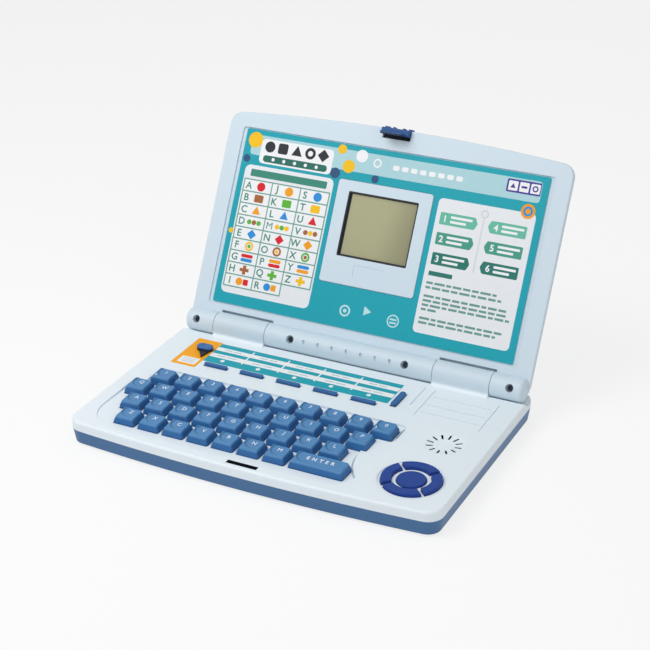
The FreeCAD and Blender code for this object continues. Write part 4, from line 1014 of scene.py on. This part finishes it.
class LAPTOP_OT_stage(bpy.types.Operator):
    """Sets the floor, the lights, the sky and the camera"""

    bl_idname = "laptop.stage"
    bl_label = "Stage"

    # Share of the floor's own white in what the camera sees of it
    floor_glow = 0.78

    # Lights: size, place and the point that they shine at
    key_light = (0.5, (-0.3, -0.35, 0.78), (0.0, 0.0, 0.05))
    fill_light = (0.9, (1.1, -0.75, 0.55), (0.0, 0.0, 0.08))

    # Camera fitted to the photo: its place, its turn, height angle and roll in degrees, and its lens
    camera_place = (0.42418, -0.827836, 0.5264)
    camera_turn = (27.126, 26.650, -0.752)
    camera_lens = 91.58

    def white_rays(self, tree):
        """1 for rays from the camera, from gloss and through glass, and 0 for the rest."""
        path = tree.nodes.new("ShaderNodeLightPath")
        seen = Paint(tree, path.outputs["Is Camera Ray"])
        gloss = Paint(tree, path.outputs["Is Glossy Ray"])
        clear = Paint(tree, path.outputs["Is Transmission Ray"])
        return seen.maths("MAXIMUM", seen.maths("MAXIMUM", seen, gloss), clear)

    def floor(self, settings):
        """White floor that keeps a faint shadow."""
        bm = bmesh.new()
        bmesh.ops.create_grid(bm, x_segments=1, y_segments=1, size=settings.floor_size / 2.0)
        mesh = bpy.data.meshes.new("floor")
        bm.to_mesh(mesh)
        bm.free()
        floor = bpy.data.objects.new("floor", mesh)
        bpy.context.scene.collection.objects.link(floor)
        finish = Finish("floor_white")
        finish.set(Base_Color=(0.9, 0.9, 0.9, 1.0), Roughness=0.9, Specular_IOR_Level=0.0)
        rays = self.white_rays(finish.tree)
        glow = rays.node("ShaderNodeEmission", {}, {"Color": (1.0, 1.0, 1.0, 1.0), "Strength": 1.0})
        lit = Paint(finish.tree, finish.shader.outputs[0])
        share = rays.node("ShaderNodeMixShader", {}, {0: self.floor_glow * rays, 1: lit, 2: glow})
        output = finish.tree.nodes["Material Output"]
        finish.tree.links.new(share.socket, output.inputs["Surface"])
        mesh.materials.append(finish.material)

    def light(self, name, power, size, place, target):
        """Square soft light that shines at a point."""
        lamp = bpy.data.lights.new(name, "AREA")
        lamp.energy = power
        lamp.size = size
        lit = bpy.data.objects.new(name, lamp)
        lit.location = place
        lit.rotation_mode = "QUATERNION"
        lit.rotation_quaternion = (Vector(target) - Vector(place)).to_track_quat("-Z", "Y")
        bpy.context.scene.collection.objects.link(lit)

    def sky(self, settings):
        """Even grey light from all round, seen as white."""
        world = bpy.data.worlds.new("studio")
        world.use_nodes = True
        tree = world.node_tree
        rays = self.white_rays(tree)
        shade = rays.blend((settings.sky,) * 3, (1.0, 1.0, 1.0))
        tree.links.new(shade.socket, tree.nodes["Background"].inputs["Color"])
        tree.nodes["Background"].inputs["Strength"].default_value = 1.0
        bpy.context.scene.world = world

    def camera(self):
        """Camera in the photo's place."""
        around, above, roll = (math.radians(angle) for angle in self.camera_turn)
        level = math.cos(above)
        back = Vector((math.sin(around) * level, -math.cos(around) * level, math.sin(above)))
        right = Vector((math.cos(around), math.sin(around), 0.0))
        up = back.cross(right)
        turned = right * math.cos(roll) + up * math.sin(roll)
        upright = up * math.cos(roll) - right * math.sin(roll)
        data = bpy.data.cameras.new("photo_view")
        data.lens = self.camera_lens
        data.sensor_width = 36.0
        data.clip_start = 0.05
        camera = bpy.data.objects.new("photo_view", data)
        camera.matrix_world = (Matrix.Translation(self.camera_place)
                               @ Matrix((turned, upright, back)).transposed().to_4x4())
        bpy.context.scene.collection.objects.link(camera)
        bpy.context.scene.camera = camera

    def execute(self, context):
        settings = context.scene.laptop_stage
        self.floor(settings)
        self.light("key_light", settings.key_power, *self.key_light)
        self.light("fill_light", settings.fill_power, *self.fill_light)
        self.sky(settings)
        self.camera()
        context.scene.view_settings.view_transform = "Standard"
        return {"FINISHED"}


OPERATORS = (LAPTOP_OT_shells, LAPTOP_OT_buttons, LAPTOP_OT_inner, LAPTOP_OT_legends,
             LAPTOP_OT_deck_labels, LAPTOP_OT_display, LAPTOP_OT_card, LAPTOP_OT_stage)


class LAPTOP_PT_looks(bpy.types.Panel):
    """Lists the settings and the steps that dress the toy laptop"""

    bl_idname = "LAPTOP_PT_looks"
    bl_label = "Toy Laptop"
    bl_space_type = "VIEW_3D"
    bl_region_type = "UI"
    bl_category = "Toy Laptop"

    def draw(self, context):
        for group in ("laptop_plastics", "laptop_prints", "laptop_stage"):
            settings = getattr(context.scene, group)
            column = self.layout.box().column()
            for name in settings.__annotations__:
                column.prop(settings, name)
        for operator in OPERATORS:
            self.layout.operator(operator.bl_idname)


CLASSES = (LAPTOP_PG_plastics, LAPTOP_PG_prints, LAPTOP_PG_stage, *OPERATORS, LAPTOP_PT_looks)


def register():
    """Adds the settings, the steps and the panel."""
    for one in CLASSES:
        bpy.utils.register_class(one)
    bpy.types.Scene.laptop_plastics = PointerProperty(type=LAPTOP_PG_plastics)
    bpy.types.Scene.laptop_prints = PointerProperty(type=LAPTOP_PG_prints)
    bpy.types.Scene.laptop_stage = PointerProperty(type=LAPTOP_PG_stage)


def unregister():
    """Takes them out again."""
    del bpy.types.Scene.laptop_stage
    del bpy.types.Scene.laptop_prints
    del bpy.types.Scene.laptop_plastics
    for one in reversed(CLASSES):
        bpy.utils.unregister_class(one)


def main():
    """Dresses the part, step by step."""
    register()
    bpy.ops.laptop.shells()
    bpy.ops.laptop.buttons()
    bpy.ops.laptop.inner()
    bpy.ops.laptop.legends()
    bpy.ops.laptop.deck_labels()
    bpy.ops.laptop.display()
    bpy.ops.laptop.card()
    bpy.ops.laptop.stage()


if __name__ == "__main__":
    main()
